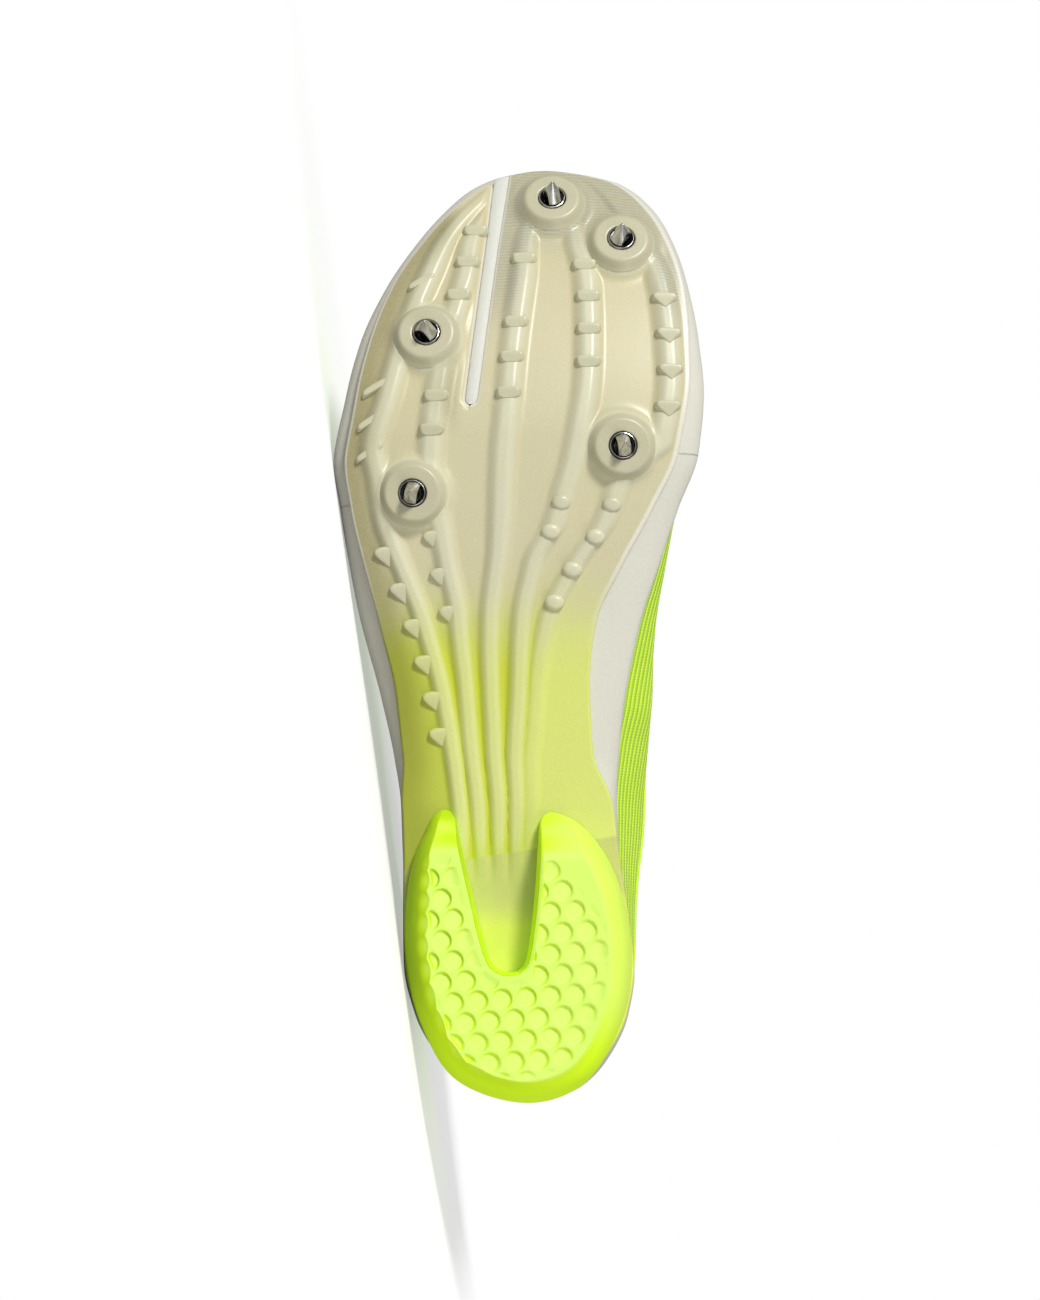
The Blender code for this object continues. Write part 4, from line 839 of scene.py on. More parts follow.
def makeLugs():
    parts = []

    def addLug(place, kind, base):
        outline = smoothOutline(lugShapes[kind])
        # how much height the heel end keeps
        flat = {"leaf": 1.0, "dome": 1.0, "tooth": 0.0}.get(kind, 0.25)
        tall = 0.98 * plateSize["ridgeHeight"] if kind == "tooth" else plateSize["lugHeight"]
        middle = outline.mean(0)
        rings = []
        for size, level in domeProfile if kind == "dome" else lugProfile:
            ring = middle + (outline - middle) * size
            share = np.clip((ring[:, 0] - outline[:, 0].min()) / np.ptp(outline[:, 0]), 0.0, 1.0)
            high = level if level < 0.0 else level * (flat + (1.0 - flat) * smoothstep(-0.1, 0.9, share))
            z = base + high * (plateSize["lugHeight"] if level < 0.0 else tall) * np.ones(len(ring))
            rings.append(np.stack([ring[:, 0] * 0.001, -ring[:, 1] * 0.001, z], 1))
        parts.append((placed(np.array(rings), place), cappedFaces(len(rings), len(outline))))

    for name, first, final, count, kind, step in lugRows:
        for i in range(count):
            at = mix(first, final, i / max(1, count - 1))
            lateral, medial = (edgePoint(at, side, plate=True) for side in (-1, 1))
            crest = mix(lateral, medial, float(read(ridges, name, at)))
            place = surfaceFrame(float(crest[0]), float(crest[1]) + step * shoe["ballWidth"])
            height = float(read(ridges, "height", at)) * plateSize["ridgeHeight"]
            addLug(place, kind, height * {"tooth": 0.0, "leaf": 0.55}.get(kind, 1.0))
    for along, across in edgeLeaves:
        addLug(surfaceFrame(along * shoe["length"], across * shoe["ballWidth"]), "leaf", 0.0008)
    return buildPiece("plateLugs", parts, lugFinish, None, 50.0)


makePlate()
makeBosses()
makeLugs()


# Spikes and their sockets


def makeSockets():
    top, depth = plateSize["bossHeight"], spikeSize["socketDepth"]
    radius, thread = spikeSize["socketRadius"], spikeSize["thread"]
    # radius, height and how much painted shade: the bore is painted near black
    profile = ((0.0, top - depth, 1.0), (radius, top - depth, 1.0), (radius, top - 0.0002, 0.0),
               (radius - 0.0001, top + 0.0001, 0.0), (radius - 0.00025, top + 0.00015, 0.0),
               (radius - 0.0004, top, 0.0), (radius - 0.00045, top - 0.0002, 1.0),
               (radius - 0.0005, top - 0.0007, 1.0), (thread + 0.0002, top - 0.0008, 1.0),
               (thread, top - 0.0010, 1.0), (thread, top - depth + 0.0005, 1.0),
               (0.0, top - depth + 0.0005, 1.0))
    steps = 64
    marks = np.empty((len(profile), steps, 3))
    marks[..., 0] = np.linspace(0.0, 1.0, steps, endpoint=False)
    marks[..., 1:] = np.array(profile)[:, None, 1:]
    for number, place in enumerate(spikeFrames, 1):
        points = placed(lathe([row[:2] for row in profile], steps), place)
        buildPiece("spikeSocket_%d" % number, [(points, gridFaces(len(profile), steps))],
                   steelFinish, ["spike_socket_%d" % number], 35.0, marks)


def makeSpikes():
    top, steps, size = plateSize["bossHeight"], 96, spikeSize
    turn = np.linspace(0.0, 2.0 * math.pi, steps, endpoint=False)
    cone = size["length"] - size["shoulder"]
    low = size["shankEnd"] - size["socketDepth"]
    levels = [(low, size["shank"]), (size["seat"], size["shank"]),
              (size["seat"], size["radius"] - 0.0001), (size["seat"] + 0.0001, size["radius"])]
    for share in np.linspace(0.0, 1.0, 26):
        height = size["shoulder"] + (cone - 0.0002) * share ** 1.1
        levels.append((height, mix(size["radius"], size["tip"], (height - size["shoulder"]) / cone)))
    levels += [(size["length"] - 0.00005, 0.7 * size["tip"]), (size["length"], 0.0)]
    rings, marks = [np.full((steps, 3), (0.0, 0.0, top + low))], [np.zeros((steps, 3))]
    for height, radius in levels:
        x, y = radius * np.cos(turn), radius * np.sin(turn)
        paintedShade = np.ones(steps)  # painted shade: the shank, down in the socket, is painted near black
        # the two flats are painted near black too: painted shade and dark reflection
        if height > size["seat"] - 0.0001:
            paintedShade = 0.9 * (np.abs(y) > size["flat"] - 0.00002)
            y = np.clip(y, -size["flat"], size["flat"])
        rings.append(np.stack([x, y, np.full(steps, top + height)], -1))
        marks.append(np.stack([turn / (2.0 * math.pi), np.full(steps, height), paintedShade], -1))
    rings = np.array(rings)
    for number, place in enumerate(spikeFrames, 1):
        buildPiece("spike_pin_%d" % number, [(placed(rings, place), gridFaces(len(rings), steps))],
                   steelFinish, ["spike_%d" % number], 24.0, np.concatenate(marks))


makeSockets()
makeSpikes()
print("the spikes sit in their sockets")


# The foam, the insole and the heel pad


foamRim = (  # shares of the rim's width and height
    (0.02, 0.0), (0.12, 0.72), (0.35, 0.97), (0.70, 0.98), (1.0, 0.80), (1.0, 0.0))
foamStrip = {"sunk": 0.0007, "bevel": 0.0003, "root": 0.001, "toeEnd": 0.989, "fromEdge": 0.0012}


def makeStrip():  # a strip of the foam that fills the plate's slit
    endX, radius, sunk = slitCentre(0.0)[1], plateSize["slitWidth"] / 2.0, foamStrip["sunk"]
    xs = np.linspace(endX - radius + 0.0002, foamStrip["toeEnd"] * shoe["length"], 90)
    centre, half = slitCentre(xs)[0], slitHalf(xs)
    edge = soleSides(xs / shoe["length"], True)[0] + foamStrip["fromEdge"]
    start, stop = np.maximum(centre - half, edge), np.maximum(centre + half + 0.0003, edge)
    root, bevel = plateSize["thick"] + foamStrip["root"], sunk + foamStrip["bevel"]
    columns = [(mix(start, stop, share), level) for share, level in (
        (0.0, root), (0.0, bevel), (0.08, sunk), (0.5, sunk), (0.92, sunk), (1.0, bevel), (1.0, root))]
    return np.stack([np.stack([xs, y, ground(xs, y) + level], -1) for y, level in columns], 1)


def makeMidsole():
    rows = 300
    at = endSpaced(rows)

    def sidePoints(side):
        foot, edge = edgePoint(at, side, 0.0006, True), edgePoint(at, side)
        thick = foamThick(edge[:, 0])
        below = [liftTo(plan, foamBottom, level * thick) for plan, level in (
            (foot, 0.0), (mix(foot, edge, 0.12), 0.05), (mix(foot, edge, 0.60), 0.24),
            (mix(foot, edge, 0.90), 0.46), (edge, 0.66))]
        rim = [liftTo(edgePoint(at, side, part * shoe["rimWidth"]), footbed, level * shoe["rimHeight"])
               for part, level in foamRim]
        return throughPoints(np.stack(below + rim, 1), 4)

    lateral, medial = sidePoints(-1), sidePoints(1)
    top = fillBetween(lateral[:, -1], medial[:, -1], 8, footbed)
    low = fillBetween(medial[:, 0], lateral[:, 0], 26, foamBottom)
    section = np.concatenate([lateral, top, medial[:, ::-1], low], 1)
    strip = makeStrip()
    sectionSize, stripSize = (grid.shape[0] * grid.shape[1] for grid in (section, strip))
    places = np.zeros((sectionSize + stripSize, 3))
    places[sectionSize:, 0] = 1.0
    parts = [(section, gridFaces(rows, section.shape[1])), (strip, cappedFaces(*strip.shape[:2]))]
    return buildPiece("foamMidsole", parts, foamFinish, ["midsole"], 60.0, places)


insoleSize = {"gap": 0.0018, "thick": 0.0030}


def makeInsole():
    rows = 160
    at = endSpaced(rows)
    thick, fit = insoleSize["thick"], shoe["fit"]
    inset = shoe["rimWidth"] + insoleSize["gap"] + 2.0 * fit

    def sidePoints(side):
        return np.stack([liftTo(edgePoint(at, side, inset + step * fit), footbed, fit + level * thick)
                         for step, level in ((0.0, 0.0), (0.0, 0.7), (1.0, 0.94), (2.5, 1.0))], 1)

    lateral, medial = sidePoints(-1), sidePoints(1)
    top = fillBetween(lateral[:, -1], medial[:, -1], 24, footbed, fit + thick)
    low = fillBetween(medial[:, 0], lateral[:, 0], 6, footbed, fit)
    section = np.concatenate([lateral, top, medial[:, ::-1], low], 1)
    return buildPiece("sockLiner", [(section, gridFaces(rows, section.shape[1]))],
                      liningFinish, ["insole"], 60.0)


heelPadRows = table(("outerAlong", "outerSide", "innerAlong", "innerSide", "depth"), (
    (0.306, -0.232, 0.302, -0.180, 0.12),
    (0.283, -0.259, 0.280, -0.171, 0.60),
    (0.247, -0.297, 0.254, -0.156, 1.00),
    (0.205, -0.314, 0.212, -0.131, 1.00),
    (0.148, -0.314, 0.170, -0.105, 1.00),
    (0.085, -0.277, 0.145, -0.083, 1.00),
    (0.0235, -0.180, 0.136, -0.055, 1.00),
    (-0.001, 0.010, 0.135, -0.028, 1.00),
    (0.0205, 0.172, 0.138, -0.006, 1.00),
    (0.085, 0.272, 0.148, 0.011, 1.00),
    (0.148, 0.298, 0.177, 0.023, 1.00),
    (0.205, 0.279, 0.212, 0.033, 1.00),
    (0.247, 0.240, 0.247, 0.039, 1.00),
    (0.279, 0.183, 0.276, 0.044, 0.60),
    (0.302, 0.110, 0.300, 0.046, 0.12),
))
padSize = {
    "flare": 0.0060, "lip": 0.0020, "lean": 0.0012, "round": 0.0010, "scaleDepth": 0.0011,
    "scaleRadius": 0.0032, "columnPitch": 0.0071, "rowPitch": 0.0061, "rowSlope": 0.07,
    "tipRadius": 0.0042, "scallop": 0.0008, "scaleStart": (0.006, 0.0012), "scaleDeep": (0.62, 0.78),
}


def scaleRelief(x, y):  # dimples that are deepest towards the toe and the medial side
    depth = np.zeros_like(x)
    (startX, startY), (deepX, deepY) = padSize["scaleStart"], padSize["scaleDeep"]
    radius = padSize["scaleRadius"]
    for row in range(14):
        for column in range(-6, 7):
            centreY = (column + 0.5 * (row % 2)) * padSize["columnPitch"] + startY
            centreX = startX + row * padSize["rowPitch"] + centreY * padSize["rowSlope"]
            dx, dy = x - centreX, y - centreY
            slope = np.clip(0.5 + 0.5 * (dx * deepX + dy * deepY) / radius, 0.0, 1.0)
            wall = smoothstep(radius, radius - 0.0008, np.hypot(dx, dy))
            depth = np.maximum(depth, slope ** 0.9 * wall)
    return depth * padSize["scaleDepth"]


def makeHeelPad():
    rows, treadColumns = 470, 84
    numbers = np.arange(float(len(heelPadRows["depth"])))
    place = np.linspace(0, numbers[-1], rows)
    depth = monotone(numbers, heelPadRows["depth"], place)
    outer, inner = (np.stack([curveThrough(heelPadRows[edge + "Along"], place) * shoe["length"],
                              curveThrough(heelPadRows[edge + "Side"], place) * shoe["ballWidth"]], -1)
                    for edge in ("outer", "inner"))
    out = unit(outer - inner)
    centreLine = (outer + inner) / 2.0
    travel = np.concatenate([[0.0], np.cumsum(np.linalg.norm(np.diff(centreLine, axis=0), axis=-1))])
    toTip = np.clip(np.minimum(travel, travel[-1] - travel) / padSize["tipRadius"], 0.0, 1.0)
    tipRound = np.sqrt(1.0 - (1.0 - toTip) ** 2)[:, None]  # both arms end in a rounded tip
    outer, inner = (centreLine + (edge - centreLine) * np.maximum(tipRound, 0.02)
                    for edge in (outer, inner))
    width = np.linalg.norm(outer - inner, axis=-1, keepdims=True)
    depth = np.minimum(1.0, depth)[:, None] * np.maximum(tipRound, 0.05)
    ragged = padSize["scallop"] * np.abs(np.sin(np.pi * travel / padSize["rowPitch"]))
    ragged = ragged * smoothstep(0.012, 0.020, travel) * smoothstep(0.5, 0.40, travel / travel[-1])
    flare = np.minimum(padSize["flare"] * depth, 0.3 * width)
    lean = np.minimum(padSize["lean"] * depth, 0.1 * width)
    sharpness = mix(0.5, 1.0, smoothstep(0.45, 0.62, travel / travel[-1]))[:, None]  # crisp lateral edge
    rounding = np.minimum(padSize["round"] * sharpness, 0.15 * width) * depth

    def under(plan):  # on the underside of the plate
        return liftTo(plan, lambda x, y: ground(x, y) - shoe["fit"])

    def at(plan, z):
        return np.concatenate([plan, z], -1)

    lift = under(outer)
    topZ = lift[:, 2:]
    treadZ = topZ * (1.0 - depth)
    treadOut, treadIn = outer - out * (flare + ragged[:, None]), inner + out * lean
    lipZ = topZ - padSize["lip"] * depth
    drop = lipZ - treadZ
    start, stop = treadOut - out * rounding, treadIn + out * rounding
    flank = [at(outer - out * flare * inward, lipZ - drop * down)
             for inward, down in ((0.0, 0.0), (0.10, 0.22), (0.34, 0.56), (0.68, 0.82))]
    flank += [at(treadOut, treadZ + 0.5 * rounding), at(start, treadZ)]
    side = throughPoints(np.stack(flank, 1), 5)
    inSide = throughPoints(np.stack([
        at(stop, treadZ), at(treadIn + out * rounding * 0.3, treadZ + 0.3 * rounding),
        at(treadIn, treadZ + rounding), at(mix(treadIn, inner, 0.5), mix(treadZ, topZ, 0.5)),
        under(inner)], 1), 4)
    flat = np.stack([at(mix(start, stop, s), treadZ) for s in np.linspace(0, 1, treadColumns)[1:-1]], 1)
    section = np.concatenate([lift[:, None], side, flat, inSide], 1)
    x, y = section[..., 0], section[..., 1]
    fromOut, fromIn = (np.linalg.norm(section[:, :, :2] - edge[:, None], axis=-1)
                       for edge in (start, stop))
    fromOut[:, :1 + side.shape[1]] = 0.0
    fromIn[:, -inSide.shape[1]:] = 0.0
    fade = np.where(y > 0.0, 0.0034, 0.0012)
    narrow = 0.0075 * smoothstep(0.050, 0.070, x) * (y > 0.0)  # smooth front of the medial arm
    mask = smoothstep(0.0735, 0.0670, x) * smoothstep(0.0, 1.0, (fromOut - narrow) / fade)
    mask = mask * np.where(y > 0.0035, smoothstep(0.0, 0.0003, fromIn),
                           smoothstep(0.0, 0.0030, fromIn - 0.0008))
    section[..., 2] += scaleRelief(x, y) * mask
    parts = [(section, cappedFaces(rows, section.shape[1]))]
    return buildPiece("heelPad", parts, padFinish, ["heel_pad"], 55.0)


makeMidsole()
makeInsole()
makeHeelPad()


# The upper, from the last

upperSize = {
    "wall": 0.0018, "bandStep": 0.0007, "collarPad": 0.0042, "bandStart": 0.79,
    "eyeletRows": 6, "eyeletRadius": 0.0020, "tongueThick": 0.0024, "tongueHalf": 0.0240,
    "eyeletEdge": 0.895, "eyeletDepth": 0.010, "tongueTop": 0.388, "tongueToe": 0.7295,
    "tongueTaper": 0.735, "laceWidth": 0.0048, "laceThick": 0.0012, "laceDive": 0.0034,
    "laceClimb": 0.0012, "laceHump": 0.0010,
}


upperInset = shoe["rimWidth"] + shoe["fit"]  # the upper stands inside the foam's rim


def skin(at, across):  # across runs from -1 at the lateral rim over the ridge at 0 to 1 medial
    at, across = np.broadcast_arrays(np.asarray(at, float), np.asarray(across, float))
    isLateral = (across < 0.0)[..., None]
    foot = np.where(isLateral, edgePoint(at, -1, upperInset), edgePoint(at, 1, upperInset))
    rimZ = footbed(foot[..., 0], foot[..., 1]) + shoe["rimHeight"] + 2.0 * shoe["fit"]
    heelShare = 1.0 - smoothstep(0.0, 0.25, at)
    toeShare = smoothstep(0.80, 1.0, at)
    ridgeX = at * shoe["length"] + shoe["heelFan"] * heelShare - shoe["toeFan"] * toeShare
    lateral, medial = soleSides(at, False)
    centreY = mix((lateral + medial) / 2.0, 0.0, smoothstep(0.95, 0.80, at))
    ridgeY = centreY + read(last, "side", at) * shoe["ballWidth"] * (1.0 - toeShare)
    ridge = np.stack([ridgeX, ridgeY], -1)
    rise = (read(last, "ofHeel", at) * shoe["heelHeight"]
            + read(last, "ofInstep", at) * shoe["instepHeight"])
    ridgeZ = footbed(ridgeX, ridgeY) + rise
    angle = (1.0 - np.abs(across)) * math.pi / 2.0
    power = 2.0 / read(last, "fullness", at)
    inward = 1.0 - np.maximum(0.0, np.cos(angle)) ** power
    upward = np.maximum(0.0, np.sin(angle)) ** power
    outward = unit(foot - ridge)
    bulge = np.where(across < 0.0, read(last, "bulgeLateral", at), read(last, "bulgeMedial", at))
    swell = smoothstep(0.03, 0.30, upward) * (1.0 - smoothstep(0.42, 1.0, upward))
    plan = mix(foot, ridge, inward[..., None]) + outward * (bulge * shoe["ballWidth"] * swell)[..., None]
    return np.concatenate([plan, mix(rimZ, ridgeZ, upward)[..., None]], -1)


def skinOut(at, across):
    at, across = np.broadcast_arrays(np.asarray(at, float), np.asarray(across, float))
    low, high = np.maximum(0.0, at - 0.004), np.minimum(1.0, at + 0.004)
    along = skin(high, across) - skin(low, across)
    left, right = np.maximum(-1.0, across - 0.012), np.minimum(1.0, across + 0.012)
    return unit(np.cross(along, skin(at, right) - skin(at, left)))


def skinAt(at, across, out):
    return skin(at, across) + skinOut(at, across) * np.asarray(out)[..., None]


def eyeletAlong():
    low, high = shoe["throatToe"] - 0.045, shoe["throatTop"] + 0.020
    count = upperSize["eyeletRows"]
    return [mix(low, high, i / (count - 1)) for i in range(count)]


def eyeletAcross(at):
    return 1.0 - upperSize["eyeletEdge"] * read(last, "edge", at)


# Shallow creases: place along the last, how far up they reach, width and depth in metres
creases = ((0.735, 0.34, 0.0040, 0.0004), (0.765, 0.46, 0.0046, 0.0005), (0.795, 0.40, 0.0040, 0.00035))


def creaseDepth(at, across):
    depth = np.zeros_like(at)
    for place, reach, width, deep in creases:
        away = (at - place - 0.02 * (1.0 - np.abs(across))) * shoe["length"] / width
        side = smoothstep(0.98, 0.70, np.abs(across)) * smoothstep(0.02, reach, np.abs(across))
        depth += deep * np.exp(-away * away) * side
    return depth


def makeUpper():
    outerColumns, innerColumns, rimSteps = 118, 22, 8
    throat = shoe["throatToe"]
    at = np.unique(np.append(endSpaced(250), [throat - 0.0005, throat]))
    rows = len(at)
    edge = read(last, "edge", at)
    parts, places = [], []
    for side in (-1, 1):
        row = np.linspace(0.0, 1.0, outerColumns)[None, :] * np.ones((rows, 1))
        ats = np.repeat(at[:, None], outerColumns, 1)
        across = side * np.maximum(1.0 - row * edge[:, None], 1e-7)
        isBand = smoothstep(upperSize["bandStart"] - 0.004, upperSize["bandStart"] + 0.010, row)
        isBand = isBand * smoothstep(throat + 0.001, throat - 0.012, ats)
        thick = upperSize["wall"] + upperSize["bandStep"] * isBand
        pad = smoothstep(0.42, 0.80, row) * (1.0 - smoothstep(0.26, 0.37, ats))
        thick = np.maximum(thick, mix(thick, upperSize["collarPad"], pad))
        bulge = 0.0008 * pad * np.sin(np.pi * smoothstep(0.45, 1.0, row))
        outside = skinAt(ats, across, upperSize["bandStep"] * isBand + bulge - creaseDepth(ats, across))
        normal = skinOut(ats, across)
        foot = liftTo(edgePoint(at, side, upperInset), footbed, shoe["fit"])
        pick = np.linspace(0, outerColumns - 1, innerColumns).round().astype(int)
        inside = (outside - normal * thick[..., None])[:, pick]
        footInside = foot.copy()
        footInside[:, :2] = edgePoint(at, side, upperInset + upperSize["wall"])
        tip, inTip = outside[:, -1], inside[:, -1]
        middle, radius = (tip + inTip) / 2.0, np.linalg.norm(tip - inTip, axis=-1, keepdims=True) / 2.0
        upward = unit(tip - outside[:, -3])
        arc = [middle + unit(tip - middle) * radius * math.cos(a) + upward * radius * 0.75 * math.sin(a)
               for a in np.linspace(0, math.pi, rimSteps)[1:-1]]
        isOpen = (at < throat - 0.0001)
        arc = np.stack([np.where(isOpen[:, None], step, mix(tip, inTip, (i + 1) / (rimSteps - 1)))
                        for i, step in enumerate(arc)], 1)
        section = np.concatenate([foot[:, None], outside, arc, inside[:, ::-1], footInside[:, None]], 1)
        count = section.shape[1]
        faces = gridFaces(rows, count).reshape(rows - 1, count, 4)
        keep = np.ones((rows - 1, count), bool)
        closed = ~isOpen[:-1] & ~isOpen[1:]
        keep[closed, outerColumns:outerColumns + rimSteps - 1] = False
        parts.append((section, faces[keep]))
        steps = np.linalg.norm(np.diff(section, axis=1), axis=-1)
        flow = np.concatenate([np.zeros((rows, 1)), np.cumsum(steps, 1)], 1)
        ribs = mix(smoothstep(0.96, 0.60, row), smoothstep(0.80, 0.76, row),
                   smoothstep(throat + 0.03, throat, ats))
        zone = np.concatenate([ribs[:, :1], ribs, np.zeros((rows, rimSteps - 2)),
                               -np.ones((rows, innerColumns + 1))], 1)
        place = np.stack([np.repeat((at * shoe["length"])[:, None], count, 1), flow, zone], -1)
        places.append(place.reshape(-1, 3))
    places = np.concatenate(places)
    return buildPiece("knitUpper", parts, knitFinish, ["upper"], 60.0, places)


def punchEyelets(piece):
    bm, radius = bmesh.new(), upperSize["eyeletRadius"]
    for at in eyeletAlong():
        for side in (-1, 1):
            across = side * float(eyeletAcross(at))
            place = Vector(skinOut(at, across)).to_track_quat("Z", "Y").to_matrix().to_4x4()
            place.translation = Vector(skin(at, across))
            bmesh.ops.create_cone(bm, cap_ends=True, segments=28, radius1=radius, radius2=radius,
                                  depth=upperSize["eyeletDepth"], matrix=rest @ place)
    bmesh.ops.recalc_face_normals(bm, faces=bm.faces)
    mesh = bpy.data.meshes.new("eyeletPunch")
    bm.to_mesh(mesh)
    bm.free()
    punch = addObject("eyeletPunch", mesh)
    cut = piece.modifiers.new("eyelets", "BOOLEAN")
    cut.operation, cut.solver, cut.object = "DIFFERENCE", "EXACT", punch
    bpy.context.view_layer.update()
    punched = bpy.data.meshes.new_from_object(piece.evaluated_get(bpy.context.evaluated_depsgraph_get()))
    piece.modifiers.clear()
    piece.data = punched
    bpy.data.objects.remove(punch, do_unlink=True)
    print("punched the eyelets")


def tongueReach(at):
    half = (edgePoint(at, 1, upperInset)[..., 1] - edgePoint(at, -1, upperInset)[..., 1]) / 2.0
    narrow = mix(1.0, 0.72, smoothstep(0.55, upperSize["tongueTaper"], at))
    narrow = narrow * mix(0.80, 1.0, smoothstep(0.385, 0.44, at))
    share = np.minimum(0.95, upperSize["tongueHalf"] * narrow / half)
    return 1.0 - np.arccos(share ** (read(last, "fullness", at) / 2.0)) / (math.pi / 2.0)


def makeTongue():
    rows, columns = 150, 72
    low, high = upperSize["tongueTop"], upperSize["tongueToe"]
    at = np.linspace(low, high, rows)
    reach = tongueReach(at)
    span = np.linspace(-1.0, 1.0, columns)
    ats = np.repeat(at[:, None], columns, 1)
    across = reach[:, None] * span[None, :]
    sideRound = np.sqrt(np.clip(1.0 - np.abs(span[None, :]) ** 10, 0.0, 1.0)) * np.ones((rows, 1))
    endShare = np.minimum(smoothstep(low - 0.0005, low + 0.006, ats),
                          smoothstep(high + 0.0005, high - 0.006, ats))
    half = upperSize["tongueThick"] / 2.0 * sideRound * np.sqrt(endShare)
    deep = upperSize["wall"] + 3.0 * shoe["fit"] + upperSize["tongueThick"] / 2.0
    outside, inside = skinAt(ats, across, -deep + half), skinAt(ats, across, -deep - half)
    section = np.concatenate([outside, inside[:, ::-1]], 1)
    count = section.shape[1]
    flow = np.concatenate([across * 0.06, across[:, ::-1] * 0.06], 1)
    along = np.repeat((at * shoe["length"])[:, None], count, 1) * 0.25
    place = np.stack([along, flow, np.ones(flow.shape)], -1)
    return buildPiece("knitTongue", [(section, cappedFaces(rows, count))], knitFinish,
                      ["tongue"], 60.0, place.reshape(-1, 3))


def laceStrap(path, outs, wide, thick):
    ahead = unit(np.gradient(path, axis=0))
    side = unit(np.cross(outs, ahead))
    high = unit(np.cross(ahead, side))
    around = 20
    turn = np.linspace(0.0, 2.0 * math.pi, around, endpoint=False)
    c, s = np.cos(turn), np.sin(turn)
    beside = (np.sign(c) * np.abs(c) ** 0.55)[None, :] * wide[:, None] / 2.0
    above = (np.sign(s) * np.abs(s) ** 0.75)[None, :] * thick[:, None] / 2.0
    points = path[:, None] + side[:, None] * beside[..., None] + high[:, None] * above[..., None]
    length = np.concatenate([[0.0], np.cumsum(np.linalg.norm(np.diff(path, axis=0), axis=-1))])
    place = np.stack([np.repeat(length[:, None], around, 1), beside, np.zeros(beside.shape)], -1)
    return points, cappedFaces(len(path), around), place.reshape(-1, 3)


def makeLaces():
    gap, thick = shoe["fit"], upperSize["laceThick"]
    overBand = upperSize["bandStep"] + 0.0007 + thick / 2.0
    underBand = -(upperSize["wall"] + 1.5 * gap)
    overTongue = underBand + thick / 2.0
    share = np.linspace(0.0, 1.0, 70)

    def strap(start, end, kind, hump=0.0, climb=upperSize["laceClimb"]):
        at, across = mix(start[0], end[0], share), mix(start[1], end[1], share)
        dive, climbing, under = smoothstep(0.07, 0.0, share), smoothstep(0.94, 1.0, share), 0.0 * share
        if kind == "bar":
            dive = dive + climbing
            out = overBand - upperSize["laceDive"] * dive
        elif kind == "link":
            out = underBand + climb * (dive + climbing)
            under = 1.0 + under
        else:  # over the near band and the tongue, under the far band, up through its eyelet
            throat = (1.0 - float(read(last, "edge", end[0]))) / abs(end[1])
            far = 0.5 + 0.5 * throat
            out = mix(overBand, overTongue, smoothstep(1.0 - far, 1.25 - far, share))
            under = smoothstep(far - 0.15, far - 0.03, share)
            out = mix(out + hump * np.exp(-((share - 0.5) / 0.13) ** 2), underBand, under)
            out = out - upperSize["laceDive"] * dive + climb * climbing
            dive = dive + climbing
        wide = upperSize["laceWidth"] * (1.0 - 0.34 * dive)
        deep = thick * (1.0 + 0.25 * dive) * (1.0 - 0.35 * under)
        return laceStrap(skinAt(at, across, out), skinOut(at, across), wide, deep)

    def pack(name, node, straps):
        points, faces, places = zip(*straps)
        buildPiece(name, list(zip(points, faces)), laceFinish, [node], 60.0,
                   np.concatenate(places))

    holes = [{side: (at, side * float(eyeletAcross(at))) for side in (-1, 1)} for at in eyeletAlong()]
    first, second = holes[:2]  # the bar, and the hidden lengths from it to the next eyelets
    pack("laceBar", "lace_bar", [strap(first[-1], first[1], "bar")]
         + [strap(first[side], second[side], "link") for side in (-1, 1)])
    for number, (low, high) in enumerate(zip(holes[1:], holes[2:]), 1):
        climb = upperSize["laceClimb"]
        if number == len(holes) - 2:  # the top ends come out and stop
            climb = overBand - underBand
        pack("laceCrossing_%d" % number, "lace_crossing_%d" % number,
             [strap(low[side], high[-side], "cross", hump, climb)
              for side, hump in ((-1, 0.0), (1, upperSize["laceHump"]))])


upperPiece = makeUpper()
punchEyelets(upperPiece)
makeTongue()
makeLaces()
print("the upper is laced")


# Camera, light and floor

view = {
    "tilt": math.radians(5.5), "distance": 1.200, "aim": (0.140, 0.0, 0.010), "focal": 4040.26,
    "imageHeight": 1300.0, "axis": (522.0, 627.64), "centre": (520.0, 650.0), "sensor": 36.0,
}


def makeCamera():  # it looks at the sole from below, with the toe up in the picture
    sine, cosine = math.sin(view["tilt"]), math.cos(view["tilt"])
    up, back = Vector((cosine, 0.0, -sine)), Vector((-sine, 0.0, -cosine))
    pose = Matrix((Vector((0.0, 1.0, 0.0)), up, back)).transposed().to_4x4()
    pose.translation = Vector(view["aim"]) + back * view["distance"]
    data = bpy.data.cameras.new("camera")
    data.sensor_fit, data.sensor_height = "VERTICAL", view["sensor"]
    data.lens = view["focal"] / view["imageHeight"] * view["sensor"]
    data.shift_x = (view["centre"][0] - view["axis"][0]) / view["imageHeight"]
    data.shift_y = (view["axis"][1] - view["centre"][1]) / view["imageHeight"]
    data.clip_start, data.clip_end = 0.05, 200.0
    camera = addObject("camera", data)
    camera.matrix_world = rest @ pose
    bpy.context.scene.camera = camera


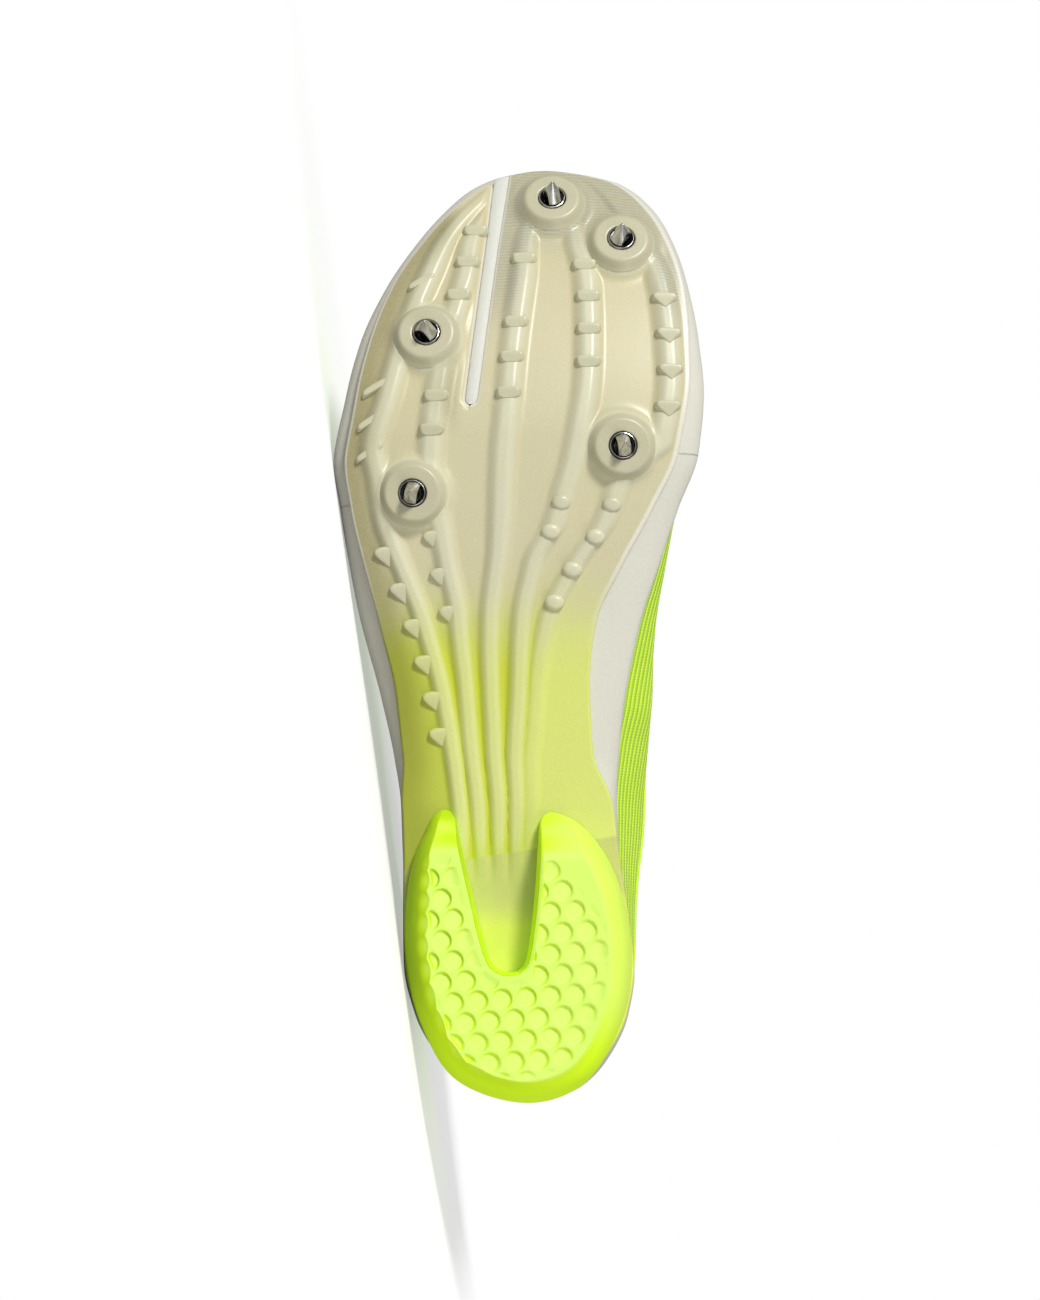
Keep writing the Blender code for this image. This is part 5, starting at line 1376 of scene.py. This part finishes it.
light = {  # suns: strength, where it comes from, softness in degrees
    "suns": {"key": (2.45, (-0.57, -0.68, 0.475), 13.0), "back": (1.0, (0.80, -0.58, 0.16), 45.0)},
    "fill": 0.34, "floor": 0.80, "floorGlow": 0.42, "floorBounce": 0.50, "floorSize": 60.0,
}
white = (1.0, 1.0, 1.0, 1.0)


def makeStudio():
    world = bpy.data.worlds.new("studio")
    bpy.context.scene.world = world
    world.use_nodes = True
    tree = world.node_tree
    shade = tree.nodes["Background"]
    shade.inputs["Color"].default_value = white
    shade.inputs["Strength"].default_value = light["fill"]
    backdrop = tree.nodes.new("ShaderNodeBackground")  # what the camera sees is plain white
    backdrop.inputs["Color"].default_value = white
    path = tree.nodes.new("ShaderNodeLightPath")
    both = tree.nodes.new("ShaderNodeMixShader")
    for source, socket in zip((path.outputs["Is Camera Ray"], shade.outputs[0], backdrop.outputs[0]),
                              both.inputs):
        tree.links.new(source, socket)
    tree.links.new(both.outputs[0], tree.nodes["World Output"].inputs["Surface"])
    for name, (strength, come, softness) in light["suns"].items():
        sun = bpy.data.lights.new(name, "SUN")
        sun.energy, sun.angle = strength, math.radians(softness)
        addObject(name, sun).rotation_euler = Vector(come).to_track_quat("Z", "Y").to_euler()
    mesh, size = bpy.data.meshes.new("floor"), light["floorSize"]
    corners = [(-size, -size, 0), (size, -size, 0), (size, size, 0), (-size, size, 0)]
    mesh.from_pydata(corners, [], [(0, 1, 2, 3)])
    paper = Finish("whitePaper", (light["floor"],) * 3, 0.9)
    glow = paper.node("ShaderNodeEmission", {"Color": white, "Strength": light["floorGlow"]})
    seen = paper.node("ShaderNodeAddShader", {0: paper.shader.outputs[0], 1: glow.outputs[0]})
    dim = paper.node("ShaderNodeBsdfDiffuse", {"Color": (light["floorBounce"],) * 3 + (1.0,)})
    camera = paper.node("ShaderNodeLightPath").outputs["Is Camera Ray"]
    choice = paper.node("ShaderNodeMixShader", {0: camera, 1: dim.outputs[0], 2: seen.outputs[0]})
    paper.join(choice.outputs[0], paper.tree.nodes["Material Output"].inputs["Surface"])
    mesh.materials.append(paper.material)
    addObject("floor", mesh)
    bpy.context.scene.view_settings.view_transform = "Standard"


makeCamera()
makeStudio()
print("camera, light and floor are set")
